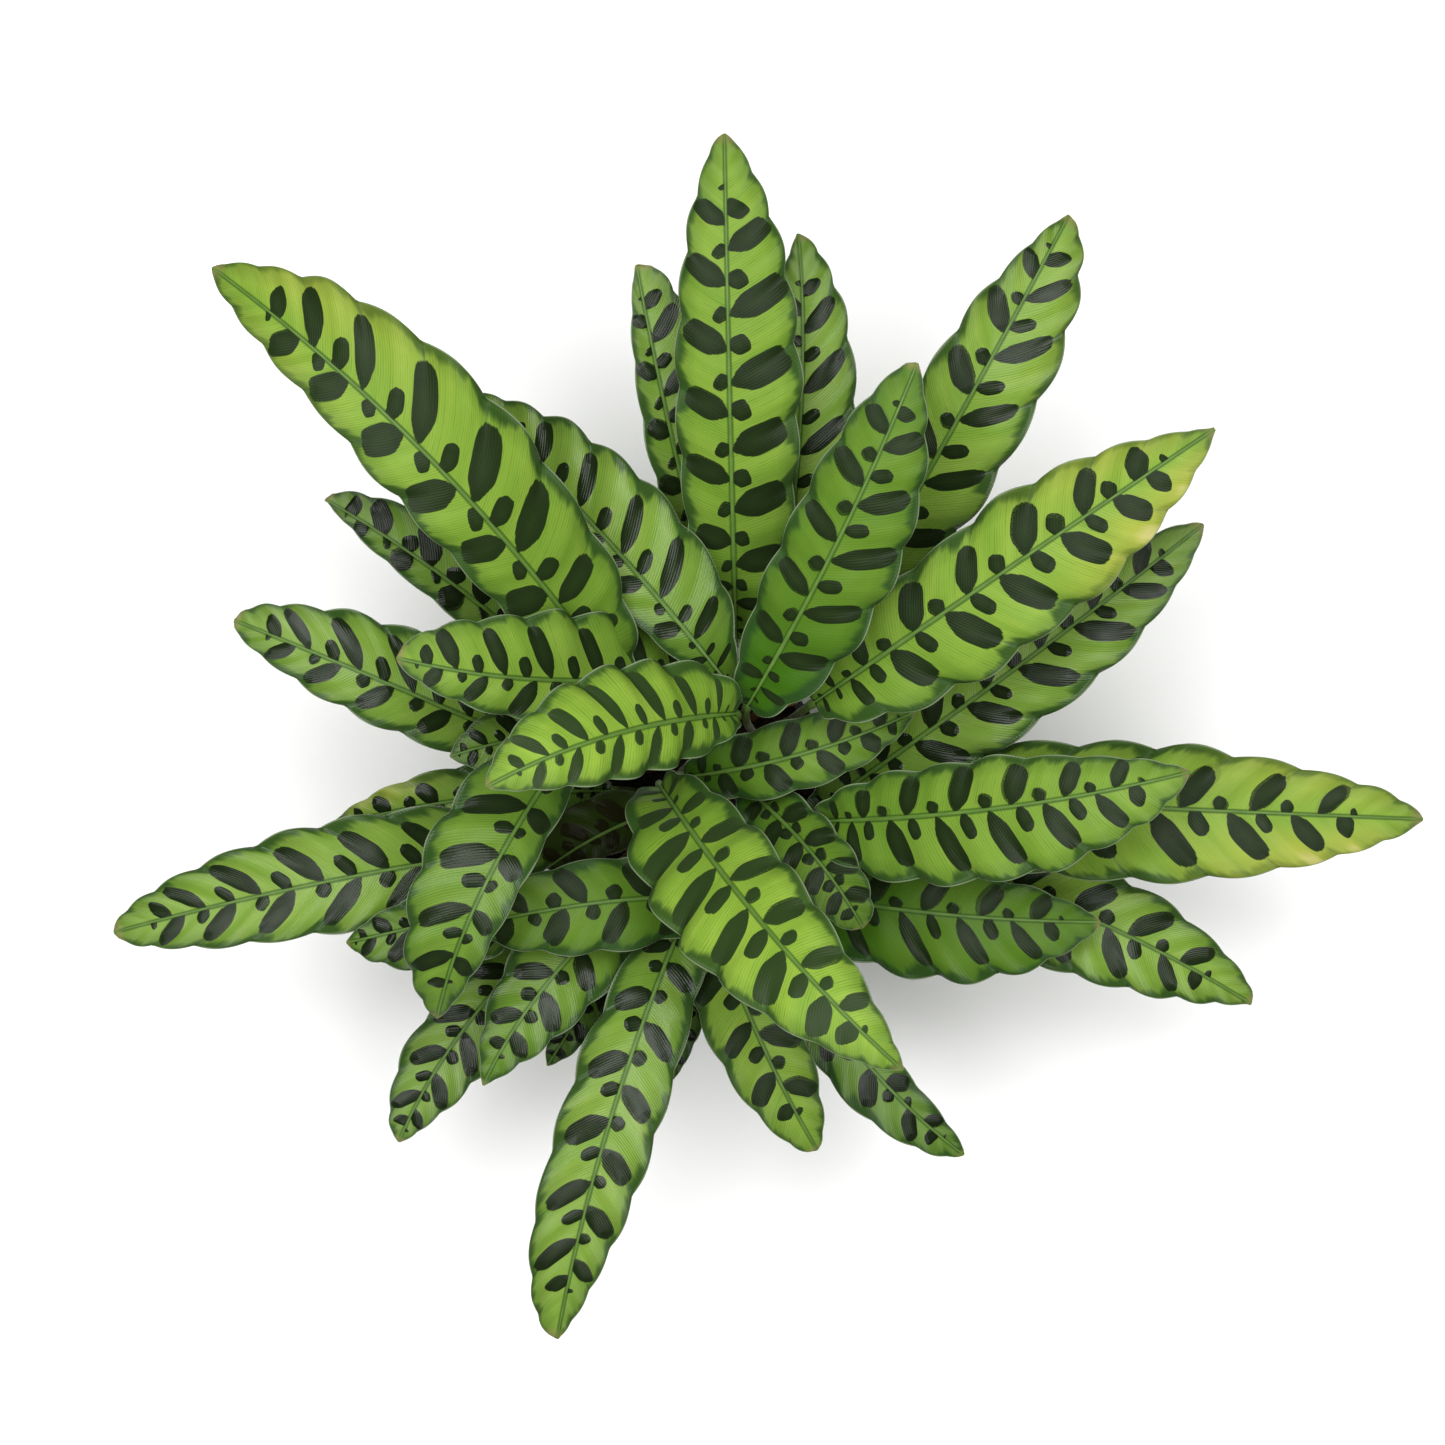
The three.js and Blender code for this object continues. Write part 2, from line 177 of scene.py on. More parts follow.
# Each leaf's character. Its marks: the last large spot before the tip on the right half and the spacing of
# the large spots, both as shares of the blade's length, and how far the left half's spots run ahead, as a
# share of that spacing. Then, for the left and the right half: the slope of the side veins, where the half
# is widest, how sharply it narrows to the tip, how plump its large spots are and how far its small spots
# reach. Last its age, from 0 for a bright new leaf to 1 for a dull old one, how far it has yellowed, and how
# much darker its green is, from 0 to 1, partly its own darker green and partly painted shade where the leaf
# lies in shadow, or more than 1 on a leaf that withers and lies in heavy shadow, painted nearly black.
CHARACTERS = (
    ((0.775, 0.117, 0.27), (0.58, 0.7), (0.42, 0.54), (0.58, 0.72), (0.2, 0.165), (0.28, 0.34), 0.1, 0.4, 0.1),
    ((0.72, 0.148, 0.38), (0.7, 0.6), (0.5, 0.45), (0.8, 0.8), (0.15, 0.145), (0.3, 0.33), 0.45, 0, 0.1),
    ((0.78, 0.165, 0.3), (0.8, 0.8), (0.5, 0.6), (0.7, 0.38), (0.16, 0.15), (0.3, 0.33), 0.6, 0, 0),
    ((0.78, 0.124, 0.48), (0.6, 0.5), (0.5, 0.56), (0.56, 0.67), (0.18, 0.21), (0.27, 0.28), 0.15, 0, 0.15),
    ((0.76, 0.142, 0.3), (0.9, 0.9), (0.53, 0.52), (0.75, 0.6), (0.16, 0.14), (0.3, 0.33), 0.6, 0, 0),
    ((0.795, 0.147, 0.42), (0.95, 0.8), (0.53, 0.58), (0.75, 0.55), (0.15, 0.145), (0.3, 0.38), 0.4, 0.1, 0),
    ((0.77, 0.152, 0.32), (0.6, 0.6), (0.53, 0.5), (0.5, 0.8), (0.165, 0.165), (0.3, 0.35), 0.15, 0, 0.6),
    ((0.755, 0.138, 0.46), (0.7, 0.6), (0.56, 0.47), (0.84, 0.74), (0.18, 0.175), (0.3, 0.36), 0.15, 0.9, 0),
    ((0.79, 0.13, 0.4), (1, 0.9), (0.53, 0.6), (0.6, 0.7), (0.15, 0.145), (0.3, 0.33), 0.6, 0, 0),
    ((0.82, 0.15, 0.35), (0.6, 0.5), (0.5, 0.5), (0.6, 0.45), (0.17, 0.17), (0.3, 0.33), 0.2, 0, 0.15),
    ((0.78, 0.145, 0.22), (0.6, 0.6), (0.53, 0.53), (0.7, 0.7), (0.15, 0.14), (0.33, 0.36), 0, 0, 0),
    ((0.785, 0.142, 0.35), (0.85, 0.9), (0.5, 0.5), (0.5, 0.5), (0.155, 0.15), (0.3, 0.36), 0.5, 0, 0.1),
    ((0.76, 0.195, 0.35), (0.8, 0.8), (0.5, 0.5), (0.8, 0.5), (0.2, 0.2), (0.3, 0.35), 0.8, 0, 0),
    ((0.78, 0.2, 0.4), (0.6, 0.6), (0.5, 0.5), (0.7, 0.7), (0.17, 0.17), (0.3, 0.35), 0.6, 0, 0.3),
    ((0.78, 0.17, 0.4), (0.8, 0.8), (0.5, 0.5), (0.7, 0.7), (0.17, 0.17), (0.3, 0.35), 0.7, 0.65, 0),
    ((0.785, 0.133, 0.45), (1, 0.95), (0.5, 0.44), (0.53, 0.54), (0.15, 0.145), (0.28, 0.36), 0.45, 0, 0),
    ((0.765, 0.15, 0.02), (0.6, 0.6), (0.5, 0.5), (0.7, 0.75), (0.17, 0.17), (0.3, 0.3), 0.35, 0, 0.4),
    ((0.78, 0.2, 0.4), (0.9, 0.9), (0.5, 0.5), (0.7, 0.7), (0.17, 0.17), (0.3, 0.35), 0.7, 0, 0.2),
    ((0.75, 0.215, 0.38), (0.6, 0.6), (0.5, 0.5), (0.7, 0.7), (0.18, 0.18), (0.3, 0.35), 0.2, 0, 0.6),
    ((0.79, 0.18, 0.45), (0.9, 0.9), (0.5, 0.62), (0.7, 0.6), (0.17, 0.17), (0.3, 0.35), 0.7, 0, 0),
    ((0.72, 0.18, 0.4), (0.7, 0.7), (0.5, 0.5), (0.8, 0.8), (0.17, 0.16), (0.3, 0.35), 0.5, 0, 0.4),
    ((0.775, 0.13, 0.42), (0.75, 0.8), (0.5, 0.69), (0.75, 0.5), (0.16, 0.155), (0.28, 0.36), 0.45, 0, 0),
    ((0.78, 0.22, 0.4), (0.8, 0.8), (0.5, 0.5), (0.7, 0.7), (0.18, 0.18), (0.3, 0.35), 0.9, 0, 0.4),
    ((0.765, 0.14, 0.36), (0.42, 0.5), (0.48, 0.45), (0.76, 0.8), (0.165, 0.19), (0.34, 0.42), 0, 0, 0),
    ((0.67, 0.2, 0.28), (0.6, 0.6), (0.5, 0.4), (0.6, 0.5), (0.18, 0.17), (0.3, 0.35), 0.2, 0, 0.05),
    ((0.72, 0.2, 0.4), (0.9, 0.9), (0.5, 0.5), (0.55, 0.65), (0.17, 0.17), (0.25, 0.3), 0.8, 0, 0.35),
    ((0.79, 0.165, 0.1), (0.5, 0.5), (0.6, 0.6), (0.42, 0.42), (0.25, 0.25), (0.3, 0.35), 0.15, 0, 0.5),
    ((0.76, 0.2, 0.4), (0.6, 0.6), (0.5, 0.5), (0.7, 0.7), (0.19, 0.19), (0.3, 0.35), 0.15, 0, 0.5),
    ((0.765, 0.136, 0.4), (0.45, 0.5), (0.5, 0.5), (0.7, 0.7), (0.18, 0.17), (0.28, 0.36), 0.2, 0, 0.2),
    ((0.775, 0.125, 0.38), (0.75, 0.75), (0.5, 0.5), (0.58, 0.72), (0.155, 0.155), (0.22, 0.32), 0.2, 0.8, 0),
    ((0.71, 0.18, 0.4), (0.6, 0.65), (0.5, 0.5), (0.7, 0.7), (0.17, 0.15), (0.25, 0.35), 0.2, 0, 0.7),
    ((0.715, 0.155, 0.38), (0.8, 0.8), (0.5, 0.4), (0.53, 0.85), (0.16, 0.16), (0.25, 0.3), 0.4, 0, 0),
    ((0.78, 0.2, 0.4), (0.8, 0.8), (0.5, 0.5), (0.7, 0.7), (0.17, 0.17), (0.3, 0.35), 0.9, 0, 0.4),
    ((0.85, 0.3, 0.4), (0.6, 0.6), (0.5, 0.5), (0.5, 0.5), (0.2, 0.2), (0.3, 0.35), 1, 0, 1.75),
)
GROWN_AGE = 0.3

# The dry sheaths of old leaves: foot, throat, middle, tip and halves, as in the solids
DRY_SHEATHS = (
    ((24, 31), (32, 36, 130), (42, 42, 146), (52, 49, 154), (4.5, 4.5)),
    ((-39, -20), (-45, -22, 112), (-52, -24, 119), (-60, -27, 121), (3.5, 3.5)),
)
DRY_CHARACTER = ((0, 0.3, 0.4), (0.3, 0.3), (0.5, 0.5), (0.8, 0.8), (0.2, 0.2), (0.3, 0.3), 1, 0, 0)


def linear(hexadecimal):
    """An sRGB hex colour as linear RGBA."""
    channels = [int(hexadecimal[i:i + 2], 16) / 255 for i in (1, 3, 5)]
    return (*[c / 12.92 if c <= 0.04045 else ((c + 0.055) / 1.055) ** 2.4 for c in channels], 1.0)


def wire(made, sockets):
    """Sets or links a node's inputs, told by name or number. A node given for a value links by the first of
    its outputs that is in use."""
    for key, value in sockets.items():
        if isinstance(value, bpy.types.Node):
            value = next(output for output in value.outputs if output.enabled)
        if isinstance(value, bpy.types.NodeSocket):
            made.id_data.links.new(value, made.inputs[key])
        else:
            made.inputs[key].default_value = value


def node(tree, kind, *inputs, **settings):
    """Adds a node with its settings. Its inputs are given in their order, and those in a dictionary by name
    or number. A kind all in capitals, such as MULTIPLY, is that operation of a Math node."""
    if kind.isupper():
        settings["operation"] = kind
        kind = "ShaderNodeMath"
    made = tree.nodes.new(kind)
    for name, value in settings.items():
        setattr(made, name, value)
    for place, value in enumerate(inputs):
        wire(made, value if isinstance(value, dict) else {place: value})
    return made


def new_material(title):
    """An empty material, its tree and its shader."""
    material = bpy.data.materials.new(title)
    material.use_nodes = True
    tree = material.node_tree
    tree.nodes.clear()
    shader = node(tree, "ShaderNodeBsdfPrincipled")
    node(tree, "ShaderNodeOutputMaterial", {"Surface": shader})
    return material, tree, shader


# Kinds of node. A range node takes a value (0) from one range (1, 2) to another (3, 4), each 0 to 1 unless
# given, and holds it there. A mix node blends by a factor (0) two numbers (2, 3) or two colours (6, 7).
VECTOR_MATH = "ShaderNodeVectorMath"
RANGE = "ShaderNodeMapRange"
MIX = "ShaderNodeMix"
NOISE = "ShaderNodeTexNoise"
CHANCE = "ShaderNodeTexWhiteNoise"
TRIPLE = "ShaderNodeCombineXYZ"
PARTS = "ShaderNodeSeparateXYZ"
ATTRIBUTE = "ShaderNodeAttribute"
COORDINATES = "ShaderNodeTexCoord"
BUMP = "ShaderNodeBump"
STORE = "GeometryNodeStoreNamedAttribute"
REALIZE = "GeometryNodeRealizeInstances"
SET_MATERIAL = "GeometryNodeSetMaterial"

# The attributes that each blade hands to its material, three values in each.
FACTS = ("place", "measure", "kind", "build", "vein")

# Materials

# Colours of the leaves
GROUND_NEW = "#7c9836"
GROUND_OLD = "#637c3c"
GROUND_SHADE = "#5b7f23"
# A darker green of the leaf's own, also laid on as painted shade towards the stalk and on leaves in shadow
GROUND_DEEP_AND_SHADE = "#31560f"
VEIN_GREEN = "#3d601c"
# Painted shade beside the raised rib
RIB_SIDE_SHADE = "#294615"
MARGIN_GREEN = "#203a18"
YELLOWED = "#a2a243"
FADED = "#b4aa79"
SPOT_YOUNG = "#263619"
SPOT_NEW = "#1a2710"
SPOT_OLD = "#0e130a"
SPOT_HEART = "#283a18"
# A painted pale highlight along the leaf's very edge
HEM_HIGHLIGHT = "#798568"
TIP_TAN = "#777245"
# Painted shade and withering: a near-black brown for a leaf that lies in heavy shadow
WITHERED_AND_SHADED = "#22210f"

# One spot: how far chance shifts it, how it varies its length and girth, how sharp its far end and its sides
# are, and where its dome ends. Along a spot, -1 is the end at the rib and 1 the far end.
SPOT_SHIFT = {3: -0.04, 4: 0.04}
SPOT_LENGTHS = {3: 0.92, 4: 1.08}
SPOT_GIRTHS = {3: 0.88, 4: 1.12}
SPOT_MIDDLE = {1: -0.5, 2: 0.5}
END_AT_RIB = 0.95
FAR_ENDS = {3: 0.92, 4: 0.6}
SIDES_OF_CORNERS = {3: 0.68, 4: 0.46}
CORNER_POWER = 6.0
DOME_ENDS = {1: 1.05, 2: 0.6}

# Rows of spots. The large reach further on a new leaf, and less far on a yellowing one. Past the last of
# them the small come late, and the last of these is smaller on the left half and larger on the right.
LARGE_REACH = {1: 0.1, 2: 0.5, 3: 0.87, 4: 0.8}
YELLOWING_REACH = -0.12
BLUNTNESS = {1: 0.12, 2: 0.2}
GROWING = {2: 0.14, 3: 0.35}
SMALL_LAG = {2: -0.12, 3: -0.2}
SMALL_GIRTH = 0.68
ENDING_SIZES = {2: 0.7, 3: 1.45}
LARGE_KEY = {1: 3.7, 2: 9.1}
SMALL_KEY = {0: 5.3, 2: 2.9}
LAST_LARGE = 0.6
LAST_SMALL = 1.6
SPOT_EDGE = {1: 1.08, 2: 1.03}
SPOT_CORE = {1: 0.75, 2: 0.15}
FRINGE = {1: 0.3, 2: 0.7, 3: -0.04, 4: 0.02}
RAGGEDNESS = 0.035

# Grain and veins, with lengths in millimetres
VEIN_SPACING = 1.25
VEIN_DEPTH = -0.025 * MM
GRAIN_OUTWARDS = 0.12
HALVES_APART = 50.0
STREAKS = {"Scale": 0.8, "Detail": 3.0}
VEIN_LINES = {1: 0.45, 2: 1.0}
VEIN_STRENGTHS = {3: 0.15, 4: 0.75}
BREAKS = {"Scale": 1.7, "Detail": 2.0}
BROKEN = {1: 0.4, 2: 0.6, 3: 0.35, 4: 1.0}
CLOUDS = {"Scale": 0.12, "Detail": 2.0}
CLOUDED = {1: 0.35, 2: 0.7, 4: 0.6}
# Painted shade: the ground darkens towards the stalk, over the half of the blade nearest it
PAINTED_BASE_SHADE = {1: 0.5, 2: 0.0, 4: 0.5}
# Painted shade and withering, for a leaf whose depth passes 1
WITHERING_AND_SHADE = {1: 1.0, 2: 2.0}
# Painted shade in a strip under a millimetre wide along each side of the raised rib
RIB_HALF_WIDTHS = {3: 1.1, 4: 0.5}
RIB_SIDE_SHADE_STRIP = {1: 0.75, 2: 0.1, 4: 0.8}
# Painted shade in a fine line along the creases, in the outer part of each half
CREASE_SHADE_WIDTH = {1: 0.035, 2: 0.0}
CREASE_SHADE_OUTWARDS = {1: 0.7, 2: 0.85, 4: 0.6}

# The margin's dark band, in millimetres from the edge: widest at the creases, and waning towards the tip
DRIFT = {"Scale": 0.15, "Detail": 2.0}
DRIFTING = {1: 0.3, 2: 0.7, 3: -2.2, 4: 2.2}
FEATHERS = {1: 0.25, 2: 0.75, 3: -0.4, 4: 0.4}
BAND_WIDTHS = {2: 0.35, 3: 5.2, 4: 3.0}
BAND_WANES = {1: 0.55, 2: 0.95, 3: 1.0, 4: 0.45}
BAND_EDGE = {1: 2.5, 2: -1.7, 4: 0.9}
MARGIN_SHADE = {1: 9.0, 2: 2.0, 4: 0.36}
# Painted highlight: a pale line along the very edge
HEM_HIGHLIGHT_EDGE = {1: 0.45, 2: 0.15, 4: 0.7}
DRY_TIP = {1: 0.975, 2: 0.995, 4: 0.8}

# Yellowing, by the share of the leaf's length, by half and outwards from the rib
RIPE_FROM = {1: 0.55, 2: 0.78}
RIPE_TO = {1: 1.0, 2: 0.88}
RIPE_HALVES = {3: 0.55, 4: 1.0}
PATCHES = {"Scale": 0.09, "Detail": 2.0}
PATCHY = {1: 0.35, 2: 0.6, 3: 0.5, 4: 1.0}
RIPE_OUTWARDS = {1: 0.1, 2: 0.85}
FADING = {1: 0.6, 2: 1.0, 4: 0.85}

# By the leaf's age: its youngest spots, their hearts, its roughness and how far its spots are domed
YOUNGEST = {1: 0.12, 2: 0.0}
HEARTS = {3: 0.3, 4: 0.1}
VEINS_IN_SPOTS = 0.5
ROUGHNESS = {1: 0.1, 2: 0.5, 3: 0.34, 4: 0.17}
DOMES = {2: 0.6, 3: 0.12 * MM, 4: 0.45 * MM}


def spot_field(tree, number, across, skew, key, reach, girth, blunt):
    """Below 1 inside a spot and above 1 outside. number counts the spots along the half, skew turns them
    square to their vein, and key tells leaves and halves apart. A spot is six-sided with soft corners: it
    starts in a point at the rib, runs on between two level sides, and ends at its reach, in a point or
    bluntly. Each is domed along its length."""
    add = partial(node, tree)
    nearest = add("ROUND", number)
    offset = add("SUBTRACT", number, nearest)
    key = add(VECTOR_MATH, key, nearest, operation="ADD")
    chance = add(CHANCE, key, noise_dimensions="3D").outputs["Color"]
    shifting, lengthening, fattening = add(PARTS, chance).outputs
    shift = add(RANGE, shifting, SPOT_SHIFT)
    offset = add("SUBTRACT", offset, shift)
    own = add(RANGE, lengthening, SPOT_LENGTHS)
    half = add("MULTIPLY", own, reach)
    half = add("MULTIPLY", half, 0.5)
    across = add("MULTIPLY_ADD", offset, skew, across)
    along = add("SUBTRACT", across, half)
    along = add("DIVIDE", along, half)
    length = add("ABSOLUTE", along)
    plump = add(RANGE, fattening, SPOT_GIRTHS)
    girth = add("MULTIPLY", girth, plump)
    thick = add("DIVIDE", offset, girth)
    thick = add("ABSOLUTE", thick)
    sharp = add(RANGE, blunt, FAR_ENDS)
    lengthwise = add(RANGE, along, {**SPOT_MIDDLE, 3: END_AT_RIB, 4: sharp})
    sideways = add(RANGE, along, {**SPOT_MIDDLE, **SIDES_OF_CORNERS})
    corner = add("MULTIPLY", length, lengthwise)
    corner = add("MULTIPLY_ADD", thick, sideways, corner)
    field = 0.0
    for part in (thick, corner, length):
        part = add("POWER", part, CORNER_POWER)
        field = add("ADD", part, field)
    field = add("POWER", field, 1 / CORNER_POWER)
    dome = add("MULTIPLY", thick, thick)
    dome = add("SUBTRACT", 1.0, dome, use_clamp=True)
    ends = add(RANGE, length, DOME_ENDS)
    dome = add("MULTIPLY", dome, ends)
    return field, nearest, dome


def coated(tree, colour, coats):
    """A colour with others laid over it in turn, each as strongly as the value beside it says."""
    for amount, over in coats:
        colour = node(tree, MIX, amount, {6: colour, 7: linear(over)}, data_type="RGBA")
    return colour


def living_leaf(title, shine):
    """The upper side of a living leaf: a thin waxy skin over green flesh, smooth, with a satin shine that
    shows every pleat, and more of it on a grown leaf. The spots, the feathered margin and the fine veins all
    follow the slanting side veins."""
    material, tree, shader = new_material(title)
    add = partial(node, tree)
    side, share, marks, origin, edge, width, seed, lead, age, small, yellowing, depth, slant, pitch, plump = [
        value
        for name in FACTS
        for value in add(PARTS, add(ATTRIBUTE, attribute_name=name).outputs["Vector"]).outputs
    ]
    across = add("ABSOLUTE", side)
    right = add("GREATER_THAN", side, 0.0)
    left = add("SUBTRACT", 1.0, right)
    ahead = add("MULTIPLY", left, lead)
    number = add("SUBTRACT", marks, ahead)
    past_last = add("GREATER_THAN", number, 0.0)
    lag = add(MIX, right, SMALL_LAG)
    between = add("MULTIPLY_ADD", past_last, lag, number)
    between = add("ADD", between, 0.5)
    from_rib = add("MULTIPLY", across, width)

    # Grain runs along the side veins: it is told by the vein's origin on the rib and, far less, the way out.
    out = add("MULTIPLY", from_rib, GRAIN_OUTWARDS)
    apart = add("MULTIPLY_ADD", right, HALVES_APART, seed)
    grain = add(TRIPLE, origin, out, apart)
    streaks = add(NOISE, {"Vector": grain, **STREAKS})
    strip = add("MULTIPLY", origin, 1 / VEIN_SPACING)
    strip = add("ROUND", strip)
    steps = add(CHANCE, add(TRIPLE, strip, apart), noise_dimensions="2D")

    # Large spots reach most of the way to the margin, and small ones lie midway between them, close to the
    # rib.
    fringe = add(RANGE, streaks, FRINGE)
    ragged = add("MULTIPLY_ADD", steps, RAGGEDNESS, fringe)
    large_key = add(TRIPLE, apart, LARGE_KEY)
    small_key = add(TRIPLE, {1: apart, **SMALL_KEY})
    square = add("MULTIPLY_ADD", slant, slant, 1.0)
    skew = add("DIVIDE", slant, square)
    skew = add("MULTIPLY", skew, pitch)
    stretch = add("SQRT", square)
    growing = add(RANGE, share, GROWING)
    stretch = add("MULTIPLY", stretch, growing)
    reach = add(RANGE, age, LARGE_REACH)
    reach = add("MULTIPLY_ADD", yellowing, YELLOWING_REACH, reach)
    blunt = add(RANGE, plump, BLUNTNESS)
    ending = add("GREATER_THAN", between, 0.5)
    ending = add(MIX, ending, {2: 1.0, 3: add(MIX, right, ENDING_SIZES)})
    small = add("MULTIPLY", small, ending)
    slim = add("MULTIPLY", plump, SMALL_GIRTH)
    slim = add("MULTIPLY", slim, ending)
    inside, cores, domes = [], [], []
    for counted, key, ends, girth, last in (
        (number, large_key, reach, plump, LAST_LARGE),
        (between, small_key, small, slim, LAST_SMALL),
    ):
        girth = add("MULTIPLY", girth, stretch)
        field, nearest, dome = spot_field(tree, counted, across, skew, key, ends, girth, blunt)
        cores.append(add(RANGE, field, SPOT_CORE))
        field = add("ADD", field, ragged)
        mask = add(RANGE, field, SPOT_EDGE)
        there = add("LESS_THAN", nearest, last)
        inside.append(add("MULTIPLY", mask, there))
        domes.append(add("MULTIPLY", dome, there))
    spots, core, raised = [add("MAXIMUM", a, b) for a, b in (inside, cores, domes)]

    # The margin is banded dark green, feathered inwards along the veins, with a painted pale highlight at its
    # edge.
    drift = add(RANGE, add(NOISE, {"Vector": grain, **DRIFT}), DRIFTING)
    feather = add(RANGE, streaks, FEATHERS)
    from_crease = add("PINGPONG", number, 0.5)
    band = add(RANGE, from_crease, BAND_WIDTHS)
    for part in (drift, feather):
        band = add("ADD", band, part)
    band = add("MULTIPLY", band, add(RANGE, share, BAND_WANES))
    border = add("SUBTRACT", edge, band)
    border = add(RANGE, border, BAND_EDGE, interpolation_type="SMOOTHSTEP")
    shade = add(RANGE, edge, MARGIN_SHADE)
    border = add("MAXIMUM", border, shade)
    hem_highlight = add(RANGE, edge, HEM_HIGHLIGHT_EDGE)

    # The green ground is clouded and lined by veins, and a leaf's depth gives it a darker green of its own.
    # Painted shade darkens it towards the stalk and on leaves in shadow, and in a fine line along the creases
    # that run on from each large spot to its notch in the margin.
    cloud = add(RANGE, add(NOISE, {"Vector": grain, **CLOUDS}), CLOUDED)
    start = add(RANGE, share, PAINTED_BASE_SHADE, interpolation_type="SMOOTHSTEP")
    # A leaf whose depth passes 1 withers and lies in heavy shadow: painted near-black brown for both.
    withered_and_shaded = add(RANGE, depth, WITHERING_AND_SHADE)
    deeper_green_and_shade = add("ADD", depth, start, use_clamp=True)
    ripple = add("MULTIPLY", origin, math.tau / VEIN_SPACING)
    ripple = add("COSINE", ripple)
    lines = add(RANGE, ripple, VEIN_LINES)
    own = add(RANGE, steps, VEIN_STRENGTHS)
    broken = add(RANGE, add(NOISE, {"Vector": grain, **BREAKS}), BROKEN)
    for part in (own, broken):
        lines = add("MULTIPLY", lines, part)
    # Painted shade beside the raised rib.
    beside = add("SUBTRACT", from_rib, add(RANGE, share, RIB_HALF_WIDTHS))
    beside = add(RANGE, beside, RIB_SIDE_SHADE_STRIP)
    # Painted shade along the creases from the large spots to the notches in the margin.
    crease_shade = add(RANGE, from_crease, CREASE_SHADE_WIDTH)
    crease_shade = add("MULTIPLY", crease_shade, add(RANGE, across, CREASE_SHADE_OUTWARDS))

    # A yellowing leaf turns from its margins, most on the right, between its middle and its tip.
    ripe = add(RANGE, share, RIPE_FROM)
    patches = add(NOISE, {"Vector": grain, **PATCHES})
    for value, limits in ((share, RIPE_TO), (right, RIPE_HALVES), (patches, PATCHY), (across, RIPE_OUTWARDS)):
        ripe = add("MULTIPLY", ripe, add(RANGE, value, limits))
    ripe = add("MULTIPLY", ripe, yellowing)
    faded = add(RANGE, ripe, FADING)
    green = add("SUBTRACT", 1.0, ripe, use_clamp=True)
    border = add("MULTIPLY", border, green)

    # Spots are darker on an older leaf, with a lighter heart and the veins showing through.
    youngest = add(RANGE, age, YOUNGEST)
    heart = add("MULTIPLY", core, add(RANGE, age, HEARTS))
    heart = add("MULTIPLY_ADD", lines, VEINS_IN_SPOTS, heart)
    dry_tip = add(RANGE, share, DRY_TIP)

    ground = coated(tree, linear(GROUND_NEW), (
        (age, GROUND_OLD), (cloud, GROUND_SHADE), (deeper_green_and_shade, GROUND_DEEP_AND_SHADE), (lines, VEIN_GREEN),
        (beside, RIB_SIDE_SHADE), (crease_shade, MARGIN_GREEN), (ripe, YELLOWED), (faded, FADED), (border, MARGIN_GREEN),
    ))
    dark = coated(tree, linear(SPOT_NEW), ((age, SPOT_OLD), (youngest, SPOT_YOUNG), (heart, SPOT_HEART)))
    coloured = add(MIX, spots, {6: ground, 7: dark}, data_type="RGBA")
    coloured = coated(tree, coloured, ((hem_highlight, HEM_HIGHLIGHT), (dry_tip, TIP_TAN), (withered_and_shaded, WITHERED_AND_SHADED)))

    raised = add("MULTIPLY", raised, add(RANGE, age, DOMES))
    height = add("MULTIPLY_ADD", ripple, VEIN_DEPTH, raised)
    wire(shader, {
        "Base Color": coloured,
        "Roughness": add(RANGE, age, ROUGHNESS),
        "Specular IOR Level": shine,
        "Normal": add(BUMP, {"Strength": 1.0, "Distance": 1.0, "Height": height}),
    })
    return material


def mottled(title, colours, noise, contrast):
    """A material of two colours in cloudy patches, with its tree, shader, coordinates and noise."""
    material, tree, shader = new_material(title)
    coordinates = node(tree, COORDINATES).outputs["Object"]
    cloud = node(tree, NOISE, {"Vector": coordinates, **noise})
    amount = node(tree, RANGE, cloud, contrast) if contrast else cloud
    dark, light = colours
    colour = node(tree, MIX, amount, {6: linear(dark), 7: linear(light)}, data_type="RGBA")
    wire(shader, {"Base Color": colour})
    return material, tree, shader, coordinates, cloud


UNDERSIDE_COLOURS = ("#401d2c", "#5d323e")
UNDERSIDE_CLOUDS = {"Scale": 60.0, "Detail": 5.0}


def leaf_underside():
    """The underside of the same leaf: matt and purple, from the pigment that backs the green flesh."""
    title = "living leaf, purple underside"
    material, _, shader, _, _ = mottled(title, UNDERSIDE_COLOURS, UNDERSIDE_CLOUDS, None)
    wire(shader, {"Roughness": 0.55})
    return material


STALK_COLOURS = (("#26150e", "#402917"), ("#363917", "#475222"), ("#466423", "#55742d"))
STALK_CLOUDS = {"Scale": 140.0, "Detail": 4.0}
STALK_CLOUDED = {1: 0.3, 2: 0.7}
STALK_GREENS = {1: 0.2, 2: 0.7}
RIB_STARTS = {1: 0.9, 2: 1.05}


def leaf_rib():
    """Rib and stalk: firm ribbed tissue, green at the blade and brown to maroon down the stalk. along is 0
    in the soil and 1 where the blade starts."""
    material, tree, shader = new_material("living stalk, green to maroon")
    add = partial(node, tree)
    along = add(ATTRIBUTE, attribute_name="along").outputs["Fac"]
    coordinates = add(COORDINATES).outputs["Object"]
    cloud = add(RANGE, add(NOISE, {"Vector": coordinates, **STALK_CLOUDS}), STALK_CLOUDED)
    colour, stalk, rib = [
        add(MIX, cloud, {6: linear(dark), 7: linear(light)}, data_type="RGBA")
        for dark, light in STALK_COLOURS
    ]
    for limits, over in ((STALK_GREENS, stalk), (RIB_STARTS, rib)):
        colour = add(MIX, add(RANGE, along, limits), {6: colour, 7: over}, data_type="RGBA")
    wire(shader, {"Base Color": colour, "Roughness": 0.5, "Specular IOR Level": 0.3})
    return material


